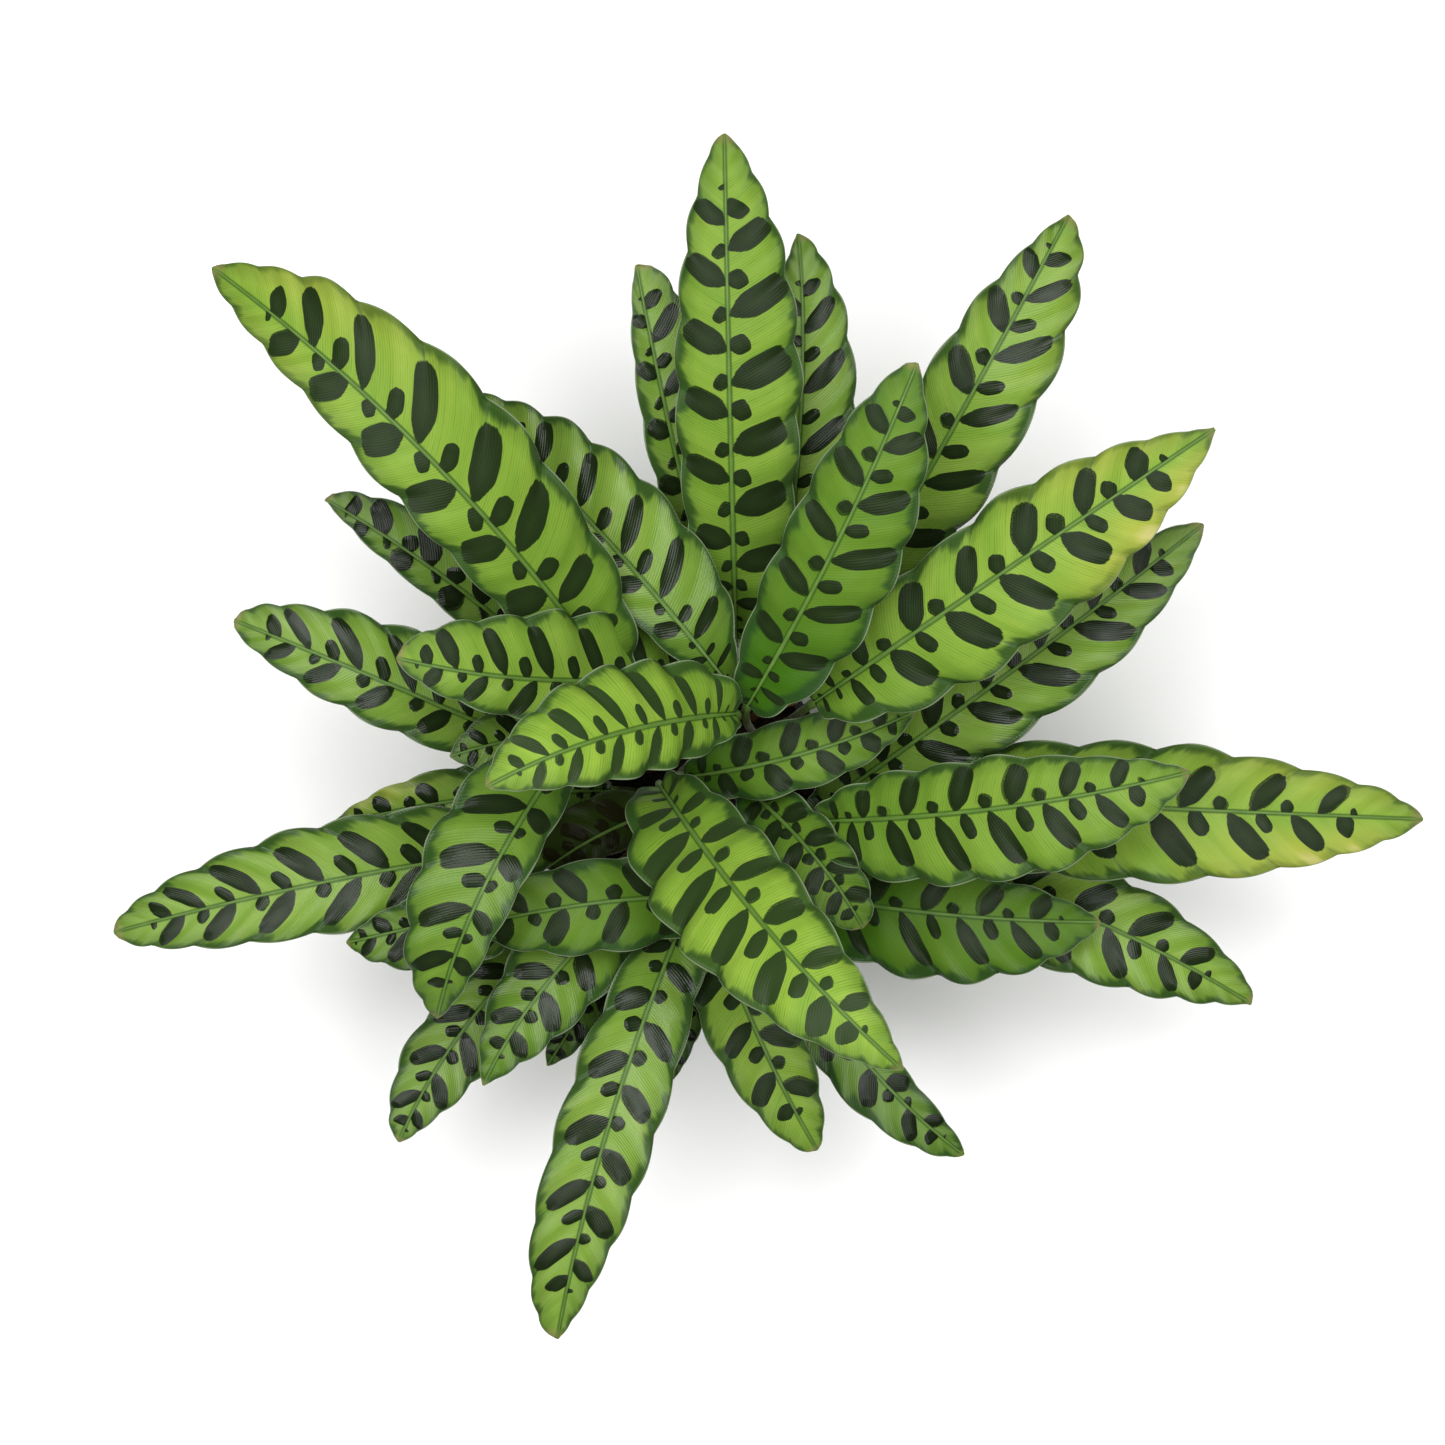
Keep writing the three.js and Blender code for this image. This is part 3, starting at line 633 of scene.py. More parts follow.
DRY_COLOURS = ("#4e2a12", "#9b6a33")
STRIPES = (14.0, 1.5, 0.0)
STRIPE_NOISE = {"Scale": 1.6, "Detail": 5.0}
STRIPED = {1: 0.35, 2: 0.65}


def dry_leaf():
    """Dead sheath: papery, brittle, brown with darker lengthwise stripes."""
    material, tree, shader = new_material("dead leaf sheath, papery")
    add = partial(node, tree)
    place = add(ATTRIBUTE, attribute_name="place").outputs["Vector"]
    stripes = add("ShaderNodeMapping", place, {"Scale": STRIPES})
    stripes = add(RANGE, add(NOISE, {"Vector": stripes, **STRIPE_NOISE}), STRIPED)
    dark, light = DRY_COLOURS
    colour = add(MIX, stripes, {6: linear(dark), 7: linear(light)}, data_type="RGBA")
    wire(shader, {"Base Color": colour, "Roughness": 0.7})
    return material


PLASTIC_COLOURS = ("#161719", "#323230")
SCUFF_NOISE = {"Scale": 90.0, "Detail": 8.0}
SCUFFED = {1: 0.5, 2: 0.8}
PLASTIC_ROUGHNESS = {1: 0.3, 2: 0.8, 3: 0.42, 4: 0.62}
MOULD_TEXTURE = {"Scale": 1800.0, "Detail": 2.0}
MOULD_RELIEF = {"Strength": 0.15, "Distance": 0.05 * MM}


def black_plastic():
    """Injection-moulded black polypropylene, thin and matt, with a fine mould texture and dusty scuffs."""
    material, tree, shader, coordinates, scuffs = mottled(
        "polypropylene, moulded black", PLASTIC_COLOURS, SCUFF_NOISE, SCUFFED
    )
    texture = node(tree, NOISE, {"Vector": coordinates, **MOULD_TEXTURE})
    wire(shader, {
        "Roughness": node(tree, RANGE, scuffs, PLASTIC_ROUGHNESS),
        "Normal": node(tree, BUMP, {"Height": texture, **MOULD_RELIEF}),
    })
    return material


PEAT_COLOURS = ("#0c0705", "#2b1f15")
PEAT_NOISE = {"Scale": 450.0, "Detail": 8.0}
PEAT_MOTTLED = {1: 0.35, 2: 0.7}
PEAT_RELIEF = {"Strength": 0.8, "Distance": 0.8 * MM}


def peat():
    """Damp peat compost: nearly black, crumbly, without shine."""
    material, tree, shader, _, crumbs = mottled("peat compost, damp", PEAT_COLOURS, PEAT_NOISE, PEAT_MOTTLED)
    wire(shader, {"Roughness": 0.95, "Normal": node(tree, BUMP, {"Height": crumbs, **PEAT_RELIEF})})
    return material


GRAIN_NOISE = {"Scale": 300.0, "Detail": 4.0}
GRAIN_SHADES = {3: 0.8, 4: 1.15}


def dull_grain(title, colour, roughness):
    """A loose grain, such as bark or perlite: dull, of one colour with lighter and darker patches."""
    material, tree, shader = new_material(title)
    noise = node(tree, NOISE, {"Vector": node(tree, COORDINATES).outputs["Object"], **GRAIN_NOISE})
    shade = node(tree, RANGE, noise, GRAIN_SHADES)
    shaded = node(tree, MIX, 1.0, {6: linear(colour), 7: shade}, data_type="RGBA", blend_type="MULTIPLY")
    wire(shader, {"Base Color": shaded, "Roughness": roughness})
    return material


# Geometry Nodes


def new_tree(name, inputs):
    """A Geometry Nodes tree with named inputs, and its inputs' sockets."""
    tree = bpy.data.node_groups.new(name, "GeometryNodeTree")
    for label, kind in {"Geometry": "NodeSocketGeometry", **inputs}.items():
        tree.interface.new_socket(label, in_out="INPUT", socket_type=kind)
    tree.interface.new_socket("Geometry", in_out="OUTPUT", socket_type="NodeSocketGeometry")
    return tree, node(tree, "NodeGroupInput").outputs


def end_tree(tree, shape, material):
    """Ends a tree: its instances made real, its material set."""
    shape = node(tree, REALIZE, shape)
    shape = node(tree, SET_MATERIAL, {"Geometry": shape, "Material": material})
    node(tree, "NodeGroupOutput", shape)
    return tree


def draw_curve(curve_node, points):
    """Gives a Float Curve node its points."""
    curve = curve_node.mapping.curves[0]
    curve.points[0].location = points[0]
    curve.points[1].location = points[-1]
    for point in points[1:-1]:
        curve.points.new(*point)
    curve_node.mapping.update()


# What a blade is told for each of its halves
HALF_INPUTS = ("half", "slope", "widest", "tip", "plump", "small")

# The outline, the side veins' slant along the blade and their bend outwards
BASE_FULLNESS = 0.36
NARROWEST = 0.5 * MM
SLANT_ALONG = ((0, 0.1), (0.1, 0.22), (0.2, 0.4), (0.35, 0.57), (0.6, 0.62), (0.75, 0.72), (0.9, 0.9), (1, 1))
SLANT_FULL = 1.6
VEIN_BEND = {1: 0.3, 2: 0.85}

# The row of marks is centred here, and crowds towards both ends and most of all in the base.
ROW_CENTRE = 0.45
ROW_EVEN = 0.95
ROW_CROWDING = 0.6
CROWDED_BASE = 0.2
BASE_CROWDING = 2.4

# The fold from the rib, the bulges between two creases, the pleats in each and the blade's own warp
FOLD = math.radians(7)
BASE_FOLD = math.radians(45)
BASE_FOLD_ENDS = 0.22
BULGE_HEIGHTS = {3: 1.2, 4: 2.6}
SCALLOP = 0.055
FLUTTER = 0.12
FLUTTER_OUTWARDS = 1.4
PLEAT = 0.3 * MM
PLEATS_HALF_TURNS = 4.0
WARP = 0.05
WARPS_ALONG = 4.0
WARP_NOISE = {"Scale": 1.0, "Detail": 1.0}
WARP_LIMITS = {1: 0.3, 2: 0.7, 3: -WARP, 4: WARP}


def blade_tree():
    """A leaf's blade: a grid laid along the rib, as wide as the outline says, folded up from the rib,
    creased at the large spots' side veins and bulging between them, with attributes for its material."""
    pairs = [f"{side} {name}" for name in HALF_INPUTS for side in ("Left", "Right")]
    floats = pairs + ["Roll", "Mark phase", "Mark spacing", "Lead", "Age", "Seed", "Yellowing", "Depth"]
    inputs = {**{name: "NodeSocketFloat" for name in floats}, "Cells along": "NodeSocketInt"}
    tree, given = new_tree("leaf blade along a rib", {**inputs, "Material": "NodeSocketMaterial"})
    add = partial(node, tree)
    blade = add("GeometryNodeMeshGrid", {
        "Size X": 2.0, "Size Y": 1.0, "Vertices X": CELLS_ACROSS + 1, "Vertices Y": given["Cells along"],
    })
    side, lengthwise, _ = add(PARTS, add("GeometryNodeInputPosition")).outputs
    share = add("ADD", lengthwise, 0.5)
    curve = given["Geometry"]
    rib = add("GeometryNodeSampleCurve", {"Curves": curve, "Factor": share}, mode="FACTOR").outputs
    length = add("GeometryNodeCurveLength", curve)
    level = add(VECTOR_MATH, rib["Tangent"], UP, operation="CROSS_PRODUCT")
    level = add(VECTOR_MATH, level, operation="NORMALIZE")
    outward = add("ShaderNodeVectorRotate", {"Vector": level, "Axis": rib["Tangent"], "Angle": given["Roll"]})
    upward = add(VECTOR_MATH, outward, rib["Tangent"], operation="CROSS_PRODUCT")
    across = add("ABSOLUTE", side)
    right = add("GREATER_THAN", side, 0.0)
    half, slope, widest, tip, plump, small = [
        add(MIX, right, {2: given[f"Left {name}"], 3: given[f"Right {name}"]}) for name in HALF_INPUTS
    ]

    # The outline rises from the base to where the half is widest, and falls from there to the tip.
    rising = add("DIVIDE", share, widest)
    left_over = add("SUBTRACT", 1.0, share)
    tip_part = add("SUBTRACT", 1.0, widest)
    falling = add("DIVIDE", left_over, tip_part)
    past = add("GREATER_THAN", share, widest)
    fullness = add(MIX, past, {2: BASE_FULLNESS, 3: tip})
    outline = add("MINIMUM", rising, falling)
    outline = add("MULTIPLY", outline, math.pi / 2)
    outline = add("SINE", outline)
    outline = add("MAXIMUM", outline, 0.0)
    outline = add("POWER", outline, fullness)
    width = add("MULTIPLY", half, outline)

    # A side vein leaves the rib and curves towards the tip. Its origin is the place on the rib it comes from.
    slant = add("ShaderNodeFloatCurve", {"Value": share})
    draw_curve(slant, SLANT_ALONG)
    for factor in (SLANT_FULL, slope):
        slant = add("MULTIPLY", slant, factor)
    run = add("MULTIPLY_ADD", across, VEIN_BEND)
    for factor in (across, width, slant):
        run = add("MULTIPLY", run, factor)
    reach = add("MULTIPLY", share, length)
    origin = add("SUBTRACT", reach, run)
    origin_share = add("DIVIDE", origin, length)

    # The marks crowd towards both ends of the blade, and the left half's run ahead of the right half's.
    middle = add("SUBTRACT", origin_share, ROW_CENTRE)
    square = add("MULTIPLY", middle, middle)
    crowd = add("MULTIPLY_ADD", square, ROW_CROWDING, ROW_EVEN)
    crowded = add("MULTIPLY", middle, crowd)
    base = add(RANGE, origin_share, CROWDED_BASE, 0.0, {4: CROWDED_BASE})
    packed = add("MULTIPLY", base, base)
    crowded = add("MULTIPLY_ADD", packed, -BASE_CROWDING, crowded)
    marks = add("DIVIDE", crowded, given["Mark spacing"])
    marks = add("SUBTRACT", marks, given["Mark phase"])
    left = add("SUBTRACT", 1.0, right)
    ahead = add("MULTIPLY", left, given["Lead"])
    number = add("SUBTRACT", marks, ahead)

    # Each bulge between two creases has its own height.
    counted = add("FLOOR", number)
    key = add(TRIPLE, counted, right, given["Seed"])
    own = add(RANGE, add(CHANCE, key, noise_dimensions="3D"), BULGE_HEIGHTS)
    turn = add("MULTIPLY", number, math.pi)
    bulge = add("SINE", turn)
    bulge = add("ABSOLUTE", bulge)
    bulge = add("MULTIPLY_ADD", bulge, own, -1.0)

    # The bulges widen the margin into scallops.
    scallop = add("MULTIPLY_ADD", bulge, SCALLOP, 1.0)
    width = add("MULTIPLY", width, scallop)
    width = add("MAXIMUM", width, NARROWEST)

    # The blade rises from the rib by its fold, and its margin by the flutter, the warp and the pleats.
    angle = add(RANGE, share, {2: BASE_FOLD_ENDS, 3: BASE_FOLD, 4: FOLD}, interpolation_type="SMOOTHSTEP")
    lift = add("MULTIPLY", width, across)
    lift = add("MULTIPLY", lift, add("SINE", angle))
    calm = add("MULTIPLY", share, math.pi)
    calm = add("SINE", calm)
    calm = add("MULTIPLY", calm, half)
    flutter = bulge
    for factor in (calm, add("POWER", across, FLUTTER_OUTWARDS), FLUTTER):
        flutter = add("MULTIPLY", flutter, factor)
    spread = add("MULTIPLY", share, WARPS_ALONG)
    key = add(TRIPLE, side, spread, given["Seed"])
    warp = add(RANGE, add(NOISE, {"Vector": key, **WARP_NOISE}), WARP_LIMITS)
    for factor in (calm, across):
        warp = add("MULTIPLY", warp, factor)
    pleats = add("MULTIPLY", turn, PLEATS_HALF_TURNS)
    pleats = add("COSINE", pleats)
    belly = add("MULTIPLY", across, math.pi)
    belly = add("SINE", belly)
    pleats = add("MULTIPLY", pleats, belly)
    pleats = add("MULTIPLY_ADD", pleats, PLEAT, SHEET_TOP * MM)
    for rise in (flutter, warp, pleats):
        lift = add("ADD", lift, rise)
    reach_out = add("MULTIPLY", side, width)
    reach_out = add("MULTIPLY", reach_out, add("COSINE", angle))
    spot, rise = [
        add(VECTOR_MATH, direction, {"Scale": distance}, operation="SCALE")
        for direction, distance in ((outward, reach_out), (upward, lift))
    ]
    for part in (rise, rib["Position"]):
        spot = add(VECTOR_MATH, spot, part, operation="ADD")

    # The material is told its lengths in millimetres.
    margin = add("SUBTRACT", 1.0, across)
    margin = add("MULTIPLY", margin, width)
    lengths = [add("MULTIPLY", value, 1 / MM) for value in (origin, margin, width)]
    pitch = add("MULTIPLY", given["Mark spacing"], length)
    pitch = add("DIVIDE", pitch, width)
    for name, values in zip(FACTS, (
        (side, share, marks),
        lengths,
        (given["Seed"], given["Lead"], given["Age"]),
        (small, given["Yellowing"], given["Depth"]),
        (slant, pitch, plump),
    )):
        stored = {"Geometry": blade, "Name": name, "Value": add(TRIPLE, *values)}
        blade = add(STORE, stored, data_type="FLOAT_VECTOR", domain="POINT")
    blade = add("GeometryNodeSetPosition", {"Geometry": blade, "Position": spot})
    return end_tree(tree, blade, given["Material"])


def tube_tree():
    """A round tube along a curve, as thick as the curve's radius says."""
    tree, given = new_tree("round stalk along a path", {
        "Sides": "NodeSocketInt", "Blade starts": "NodeSocketFloat", "Material": "NodeSocketMaterial",
    })
    add = partial(node, tree)
    along = add("GeometryNodeSplineParameter").outputs["Factor"]
    along = add("DIVIDE", along, given["Blade starts"])
    stored = {"Geometry": given["Geometry"], "Name": "along", "Value": along}
    path = add(STORE, stored, data_type="FLOAT", domain="POINT")
    circle = add("GeometryNodeCurvePrimitiveCircle", {"Resolution": given["Sides"], "Radius": 1.0})
    tube = add("GeometryNodeCurveToMesh", {
        "Curve": path, "Profile Curve": circle, "Scale": add("GeometryNodeInputRadius"), "Fill Caps": True,
    })
    tube = add("GeometryNodeSetShadeSmooth", {"Geometry": tube})
    return end_tree(tree, tube, given["Material"])


def crumbs_tree():
    """Crumbs of bark and perlite strewn on a surface, each turned and sized at random."""
    tree, given = new_tree("crumbs strewn on a surface", {
        "Density": "NodeSocketFloat", "Smallest": "NodeSocketFloat", "Largest": "NodeSocketFloat",
        "Seed": "NodeSocketInt", "Material": "NodeSocketMaterial",
    })
    add = partial(node, tree)
    points = add("GeometryNodeDistributePointsOnFaces", {
        "Mesh": given["Geometry"], "Density": given["Density"], "Seed": given["Seed"],
    })
    crumb = add("GeometryNodeMeshIcoSphere", {"Radius": 1.0, "Subdivisions": 1})
    smallest, largest = [add(TRIPLE, *[given[limit]] * 3) for limit in ("Smallest", "Largest")]
    spin, size = [
        add("FunctionNodeRandomValue", least, most, {"Seed": given["Seed"]}, data_type="FLOAT_VECTOR")
        for least, most in (((0.0, 0.0, 0.0), (math.tau, math.tau, math.tau)), (smallest, largest))
    ]
    strewn = add("GeometryNodeInstanceOnPoints", {
        "Points": points, "Instance": crumb,
        "Rotation": add("FunctionNodeEulerToRotation", spin), "Scale": size,
    })
    return end_tree(tree, strewn, given["Material"])


# Objects


def placed(name, data):
    """An object of the given data, in the scene."""
    made = bpy.data.objects.new(name, data)
    bpy.context.scene.collection.objects.link(made)
    return made


def evaluated_mesh(thing):
    """The plain mesh of an object with its modifiers."""
    return bpy.data.meshes.new_from_object(thing.evaluated_get(bpy.context.evaluated_depsgraph_get()))


def smooth(mesh):
    """Shades all of a mesh's faces smooth."""
    mesh.polygons.foreach_set("use_smooth", [True] * len(mesh.polygons))


def grown(carrier, tree, values, thickness=0.0):
    """The plain mesh that a tree makes of a carrier object. Thickness makes a sheet of it solid."""
    modifier = carrier.modifiers.new(tree.name, "NODES")
    modifier.node_group = tree
    sockets = {s.name: s.identifier for s in tree.interface.items_tree if s.in_out == "INPUT"}
    for name, value in values.items():
        modifier[sockets[name]] = value
    if thickness:
        solid = carrier.modifiers.new("sheet thickness", "SOLIDIFY")
        solid.thickness = thickness
        solid.offset = -1
        solid.material_offset = 1
        solid.material_offset_rim = 1
    mesh = evaluated_mesh(carrier)
    bpy.data.objects.remove(carrier)
    return mesh


def joined(name, meshes):
    """One object of several plain meshes, with smooth faces."""
    parts = [placed(name, mesh) for mesh in meshes]
    bpy.ops.object.select_all(action="DESELECT")
    for part in parts:
        part.select_set(True)
    whole = parts[0]
    bpy.context.view_layer.objects.active = whole
    bpy.ops.object.join()
    whole.name = name
    smooth(whole.data)
    return whole


# Leaves


def lerp(a, b, share):
    return a + (b - a) * share


def clamp(value):
    return min(1, max(0, value))


def rib_points(throat, middle, tip):
    """Throat, control point and tip of the parabola through throat, middle and tip, in metres."""
    throat, middle, tip = (Vector(p) * MM for p in (throat, middle, tip))
    return throat, 2 * middle - (throat + tip) / 2, tip


def on_rib(rib, share):
    """A point of the rib and its direction there."""
    throat, control, tip = rib
    first, second = throat.lerp(control, share), control.lerp(tip, share)
    return first.lerp(second, share), (second - first).normalized()


def path_length(places):
    return sum((b - a).length for a, b in zip(places, places[1:]))


def stalk_path(foot, rib, scale):
    """Points of (place, radius) from under the soil to the throat."""
    throat = rib[0]
    ground = Vector((*foot, SOIL_LEVEL + COLLAR_HEIGHT)) * MM
    length = (throat - ground).length
    into = (on_rib(rib, 0)[1] + UP * STALK_UPRIGHT).normalized()
    corners = (ground, ground + UP * length * STALK_RISE, throat - into * length * THROAT_REACH, throat)
    buried = Vector((*foot, SOIL_LEVEL - BURIED_DEPTH)) * MM
    path = [(buried, scale * FOOT_RADIUS * MM)]
    for i in range(STALK_STEPS):
        share = i / STALK_STEPS
        first = [a.lerp(b, share) for a, b in zip(corners, corners[1:])]
        second = [a.lerp(b, share) for a, b in zip(first, first[1:])]
        height = share * length / MM
        radius = lerp(FOOT_RADIUS, STALK_RADIUS, clamp(height / SHEATH_LENGTH))
        near = clamp(1 - (length / MM - height) / JOINT_LENGTH)
        radius = lerp(radius, JOINT_RADIUS, near * near * (3 - 2 * near))
        path.append((second[0].lerp(second[1], share), scale * radius * MM))
    return path


def rib_path(rib, scale):
    """Points of (place, radius) from the throat to the tip. The rib's back hangs under the blade."""
    path = []
    for i in range(RIB_STEPS):
        share = i / (RIB_STEPS - 1)
        place, direction = on_rib(rib, share)
        start = clamp(1 - share * SWELLING_PARTS)
        radius = lerp(RIB_RADIUS, RIB_TIP_RADIUS, share ** RIB_TAPER)
        radius = lerp(radius, JOINT_RADIUS, start * start) * scale
        upward = direction.cross(UP).normalized().cross(direction)
        back = SHEET_TOP + lerp(RIB_PROUD, RIB_TIP_PROUD, share) - radius
        path.append((place + upward * back * MM, radius * MM))
    return path


def rib_curve(rib):
    """A curve object along the rib. Its two handles raise the parabola to the same cubic."""
    throat, control, tip = rib
    curve = bpy.data.curves.new("rib", "CURVE")
    curve.dimensions = "3D"
    curve.resolution_u = RIB_RESOLUTION
    points = curve.splines.new("BEZIER").bezier_points
    points.add(1)
    before, after = tip.lerp(control, 2 / 3), throat.lerp(control, 2 / 3)
    for point, handles in zip(points, ((throat, throat, after), (tip, before, tip))):
        point.co, point.handle_left, point.handle_right = handles
    return placed("rib", curve)


def path_curve(path):
    """A curve object of straight pieces through points of (place, radius)."""
    curve = bpy.data.curves.new("stalk", "CURVE")
    curve.dimensions = "3D"
    points = curve.splines.new("POLY").points
    points.add(len(path) - 1)
    for point, (place, radius) in zip(points, path):
        point.co = (*place, 1)
        point.radius = radius
    return placed("stalk", curve)


def crowding(share):
    """How far along its row of marks a place on the rib is, in blade lengths, but for the base's crowding."""
    middle = share - ROW_CENTRE
    return middle * (ROW_EVEN + ROW_CROWDING * middle * middle)


def grow_blade(rib, halves, character, cells, roll, seed, finish):
    """The blade's mesh, grown along the rib."""
    (last, spacing, lead), *pairs, age, yellowing, depth = character
    values = {
        "Mark phase": crowding(last) / spacing,
        "Mark spacing": spacing,
        "Lead": lead,
        "Age": float(age),
        "Yellowing": float(yellowing),
        "Depth": float(depth),
        "Roll": roll,
        "Seed": float(seed),
        "Cells along": cells,
        "Material": finish,
    }
    for name, pair in zip(HALF_INPUTS, ([half * MM for half in halves], *pairs)):
        values[f"Left {name}"], values[f"Right {name}"] = [float(value) for value in pair]
    return grown(rib_curve(rib), TREES["blade"], values, SHEET_THICKNESS * MM)


def grow_stalk(foot, rib, scale, finish):
    """The mesh of the stalk and the rib, in one tube."""
    stalk = stalk_path(foot, rib, scale)
    whole = stalk + rib_path(rib, scale)
    starts = path_length([place for place, _ in stalk]) / path_length([place for place, _ in whole])
    values = {"Sides": STALK_SIDES, "Blade starts": starts, "Material": finish}
    return grown(path_curve(whole), TREES["tube"], values)


def make_leaf(number, row, character):
    """A living leaf: blade, rib and stalk in one piece."""
    foot, throat, middle, tip, halves = row
    rib = rib_points(throat, middle, tip)
    stations = [on_rib(rib, i / LENGTH_STEPS)[0] for i in range(LENGTH_STEPS + 1)]
    cells = int(path_length(stations) / (CELL_LENGTH * MM))
    age, _, depth = character[-3:]
    # A leaf past 1 in depth withers and lies in heavy shadow; it takes the dull material, painted dark for
    # both
    upper = "withered_and_shaded" if depth > 1 else "grown" if age > GROWN_AGE else "new"
    blade = grow_blade(rib, halves, character, cells, ROLLS.get(number, 0.0), number, FINISHES[upper])
    blade.materials.append(FINISHES["under"])
    leaf = joined(f"living_leaf_{number:02d}", [blade, grow_stalk(foot, rib, 1, FINISHES["stalk"])])
    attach(leaf, "root")
    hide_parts(f"leaf_{number:02d}")


def make_dry_sheath(number, row):
    """The dry brown sheath that an old leaf has left."""
    foot, throat, middle, tip, halves = row
    rib = rib_points(throat, middle, tip)
    blade = grow_blade(rib, halves, DRY_CHARACTER, DRY_CELLS, 0.0, number - 1, FINISHES["dry"])
    stalk = grow_stalk(foot, rib, DRY_STALK_SCALE, FINISHES["dry"])
    sheath = joined(f"papery_sheath_{number}", [blade, stalk])
    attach(sheath, "root")
    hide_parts(f"dry_sheath_{number}")


# Pot and soil


def around(radius, i, count):
    """The place, in metres, of one of count points spaced evenly on a circle about the Z axis."""
    angle = math.tau * i / count
    return radius * MM * math.cos(angle), radius * MM * math.sin(angle)


def turned(name, profile, sides):
    """A profile of (radius, height) in millimetres turned about the Z axis, its ends closed."""
    mesh = bmesh.new()
    rings = [
        [mesh.verts.new((*around(radius, i, sides), height * MM)) for i in range(sides if radius > 0 else 1)]
        for radius, height in profile
    ]
    for lower, upper in zip(rings, rings[1:]):
        for i in range(sides):
            corners = [lower[i % len(lower)], lower[(i + 1) % len(lower)]]
            corners += [upper[(i + 1) % len(upper)], upper[i % len(upper)]]
            mesh.faces.new(dict.fromkeys(corners))
    bmesh.ops.recalc_face_normals(mesh, faces=mesh.faces)
    made = bpy.data.meshes.new(name)
    mesh.to_mesh(made)
    mesh.free()
    return placed(name, made)


def arc(centre, radius, start, end):
    """Points on an arc, with its angles in degrees."""
    angles = [math.radians(lerp(start, end, i / ARC_STEPS)) for i in range(ARC_STEPS + 1)]
    return [(centre[0] + radius * math.cos(a), centre[1] + radius * math.sin(a)) for a in angles]


def make_pot(finish):
    """The pot, with a rolled lip, a shoulder under the rim and eight holes in its floor."""
    shoulder = POT_HEIGHT - RIM_HEIGHT
    inner_lip = POT_TOP_RADIUS - POT_WALL + LIP_RADIUS
    profile = [(0, 0)]
    profile += arc((POT_BASE_RADIUS - BASE_ROUNDING, BASE_ROUNDING), BASE_ROUNDING, -90, 0)
    profile += [(POT_TOP_RADIUS, shoulder - SHOULDER_STEP), (POT_TOP_RADIUS + SHOULDER_STEP, shoulder)]
    profile += [(RIM_RADIUS - RIM_BEVEL, shoulder), (RIM_RADIUS, shoulder + RIM_BEVEL)]
    profile += arc((RIM_RADIUS - LIP_RADIUS, POT_HEIGHT - LIP_RADIUS), LIP_RADIUS, 0, 90)
    profile += arc((inner_lip, POT_HEIGHT - LIP_RADIUS), LIP_RADIUS, 90, 180)
    profile += [(POT_BASE_RADIUS - POT_WALL, POT_FLOOR), (0, POT_FLOOR)]
    pot = turned("nursery_pot", profile, POT_SIDES)
    cutters = []
    for i in range(DRAIN_HOLES):
        bpy.ops.mesh.primitive_cylinder_add(
            vertices=DRAIN_SIDES,
            radius=DRAIN_RADIUS * MM,
            depth=4 * POT_FLOOR * MM,
            location=(*around(DRAIN_CIRCLE, i, DRAIN_HOLES), POT_FLOOR / 2 * MM),
        )
        cutters.append(bpy.context.object)
    for cutter in cutters:
        cut = pot.modifiers.new("drain hole", "BOOLEAN")
        cut.object = cutter
        cut.operation = "DIFFERENCE"
        cut.solver = "EXACT"
    holed = evaluated_mesh(pot)
    pot.modifiers.clear()
    pot.data = holed
    for cutter in cutters:
        bpy.data.objects.remove(cutter)
    holed.materials.clear()
    holed.materials.append(finish)
    smooth(holed)
    holed.set_sharp_from_angle(angle=SHARP_ANGLE)
    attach(pot, "root")
    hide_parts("pot")


def soil_height(x, y):
    """Height of the soil's lumpy surface, in millimetres: broad lumps, others that cross them, and crumbs."""
    broad = math.sin(x / LUMP_PITCH + 1) * math.cos(y / LUMP_PITCH)
    cross = CROSSING_LUMPS * math.sin((x - 2 * y) / LUMP_PITCH)
    along, bending, aside = CRUMB_WAVES
    fine = CRUMB_HEIGHT * math.sin(x * along + 2 * math.sin(y * bending)) * math.cos(y * aside)
    return SOIL_LEVEL + LUMP_HEIGHT * (broad + cross) + fine


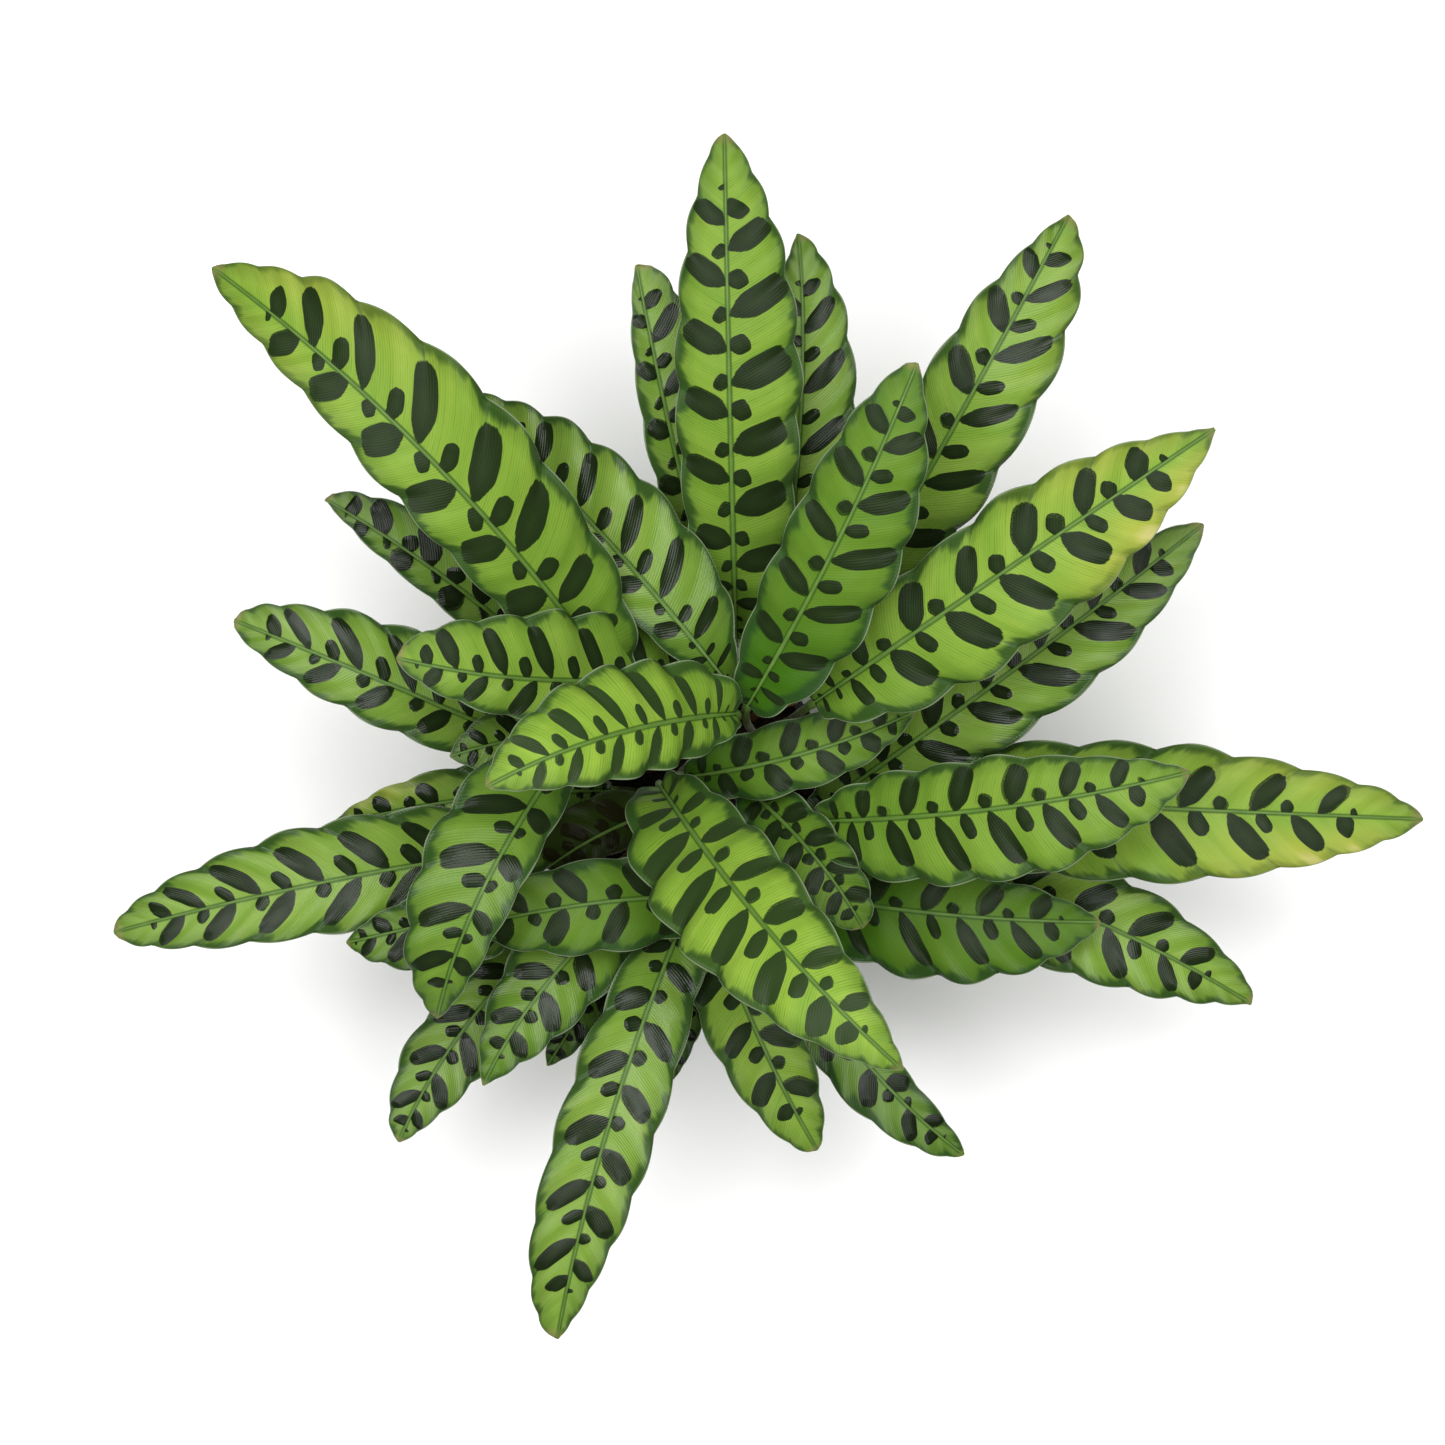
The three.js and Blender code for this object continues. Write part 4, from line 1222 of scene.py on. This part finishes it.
def make_soil():
    """The soil in the pot, with crumbs of bark and grains of perlite strewn on it."""
    share = (SOIL_LEVEL - POT_FLOOR) / (POT_HEIGHT - POT_FLOOR)
    rim = lerp(POT_BASE_RADIUS, POT_TOP_RADIUS, share) - POT_WALL - SOIL_CLEARANCE
    foot = POT_BASE_RADIUS - POT_WALL - SOIL_CLEARANCE
    bottom = POT_FLOOR + SOIL_CLEARANCE
    profile = [(0, bottom), (foot, bottom)]
    profile += [(rim * (1 - i / SOIL_RINGS), SOIL_LEVEL) for i in range(SOIL_RINGS + 1)]
    soil = turned("peat_soil", profile, SOIL_SIDES)
    for vertex in soil.data.vertices:
        if vertex.co.z > bottom * MM * 2:
            vertex.co.z = soil_height(vertex.co.x / MM, vertex.co.y / MM) * MM
    soil.data.materials.append(FINISHES["peat"])
    smooth(soil.data)
    pieces = [soil]
    for name, density, smallest, largest, finish in GRAINS:
        radii = [rim - RIM_KEPT_CLEAR] + [rim * (1 - i / GRAIN_RINGS) for i in range(1, GRAIN_RINGS + 1)]
        top = turned(name, [(radius, SOIL_LEVEL) for radius in radii], GRAIN_SIDES)
        for vertex in top.data.vertices:
            vertex.co.z = (soil_height(vertex.co.x / MM, vertex.co.y / MM) + GRAIN_LIFT) * MM
        values = {
            "Density": float(density),
            "Smallest": smallest * MM,
            "Largest": largest * MM,
            "Seed": SEED,
            "Material": FINISHES[finish],
        }
        pieces.append(placed(name, grown(top, TREES["crumbs"], values)))
    for piece in pieces:
        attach(piece, "root")
    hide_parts("soil")


# Camera, floor and light


def make_camera():
    camera = placed("camera", bpy.data.cameras.new("camera"))
    camera.data.sensor_width = SENSOR_WIDTH
    camera.data.lens = FOCAL_PIXELS / PHOTO_WIDTH * SENSOR_WIDTH
    camera.location = Vector(CAMERA_SPOT) * MM
    bpy.context.scene.camera = camera


def make_floor():
    bpy.ops.mesh.primitive_plane_add(size=FLOOR_SIZE)
    floor = bpy.context.object
    floor.name = "floor"
    material, _, shader = new_material("matt white backdrop")
    wire(shader, {"Base Color": linear("#fafaf9"), "Roughness": 0.9})
    floor.data.materials.append(material)


def make_light():
    scene = bpy.context.scene
    scene.view_settings.view_transform = "Standard"
    world = bpy.data.worlds.new("studio")
    scene.world = world
    world.use_nodes = True
    wire(world.node_tree.nodes["Background"], {0: (1, 1, 1, 1), 1: WORLD_LIGHT})
    for name, place, power in SOFTBOXES:
        light = bpy.data.lights.new(name, "AREA")
        light.size = SOFTBOX_SIZE
        light.energy = power
        lamp = placed(name, light)
        lamp.location = place
        lamp.rotation_euler = (Vector(AIM) - Vector(place)).to_track_quat("-Z", "Y").to_euler()


make_camera()
make_floor()
make_light()
FINISHES = {
    "new": living_leaf("new leaf, satin upper side", shine=0.06),
    "grown": living_leaf("grown leaf, waxy upper side", shine=0.125),
    "withered_and_shaded": living_leaf("withered leaf, dull upper side", shine=0.03),
    "under": leaf_underside(),
    "stalk": leaf_rib(),
    "dry": dry_leaf(),
    "peat": peat(),
    "bark": dull_grain("bark crumbs, composted", "#322317", roughness=0.9),
    "perlite": dull_grain("perlite, expanded glass", "#bebbb3", roughness=0.85),
}
TREES = {"blade": blade_tree(), "tube": tube_tree(), "crumbs": crumbs_tree()}
for order, (row, character) in enumerate(zip(LEAVES, CHARACTERS)):
    make_leaf(order + 1, row, character)
for order, row in enumerate(DRY_SHEATHS):
    make_dry_sheath(order + 1, row)
make_pot(black_plastic())
make_soil()
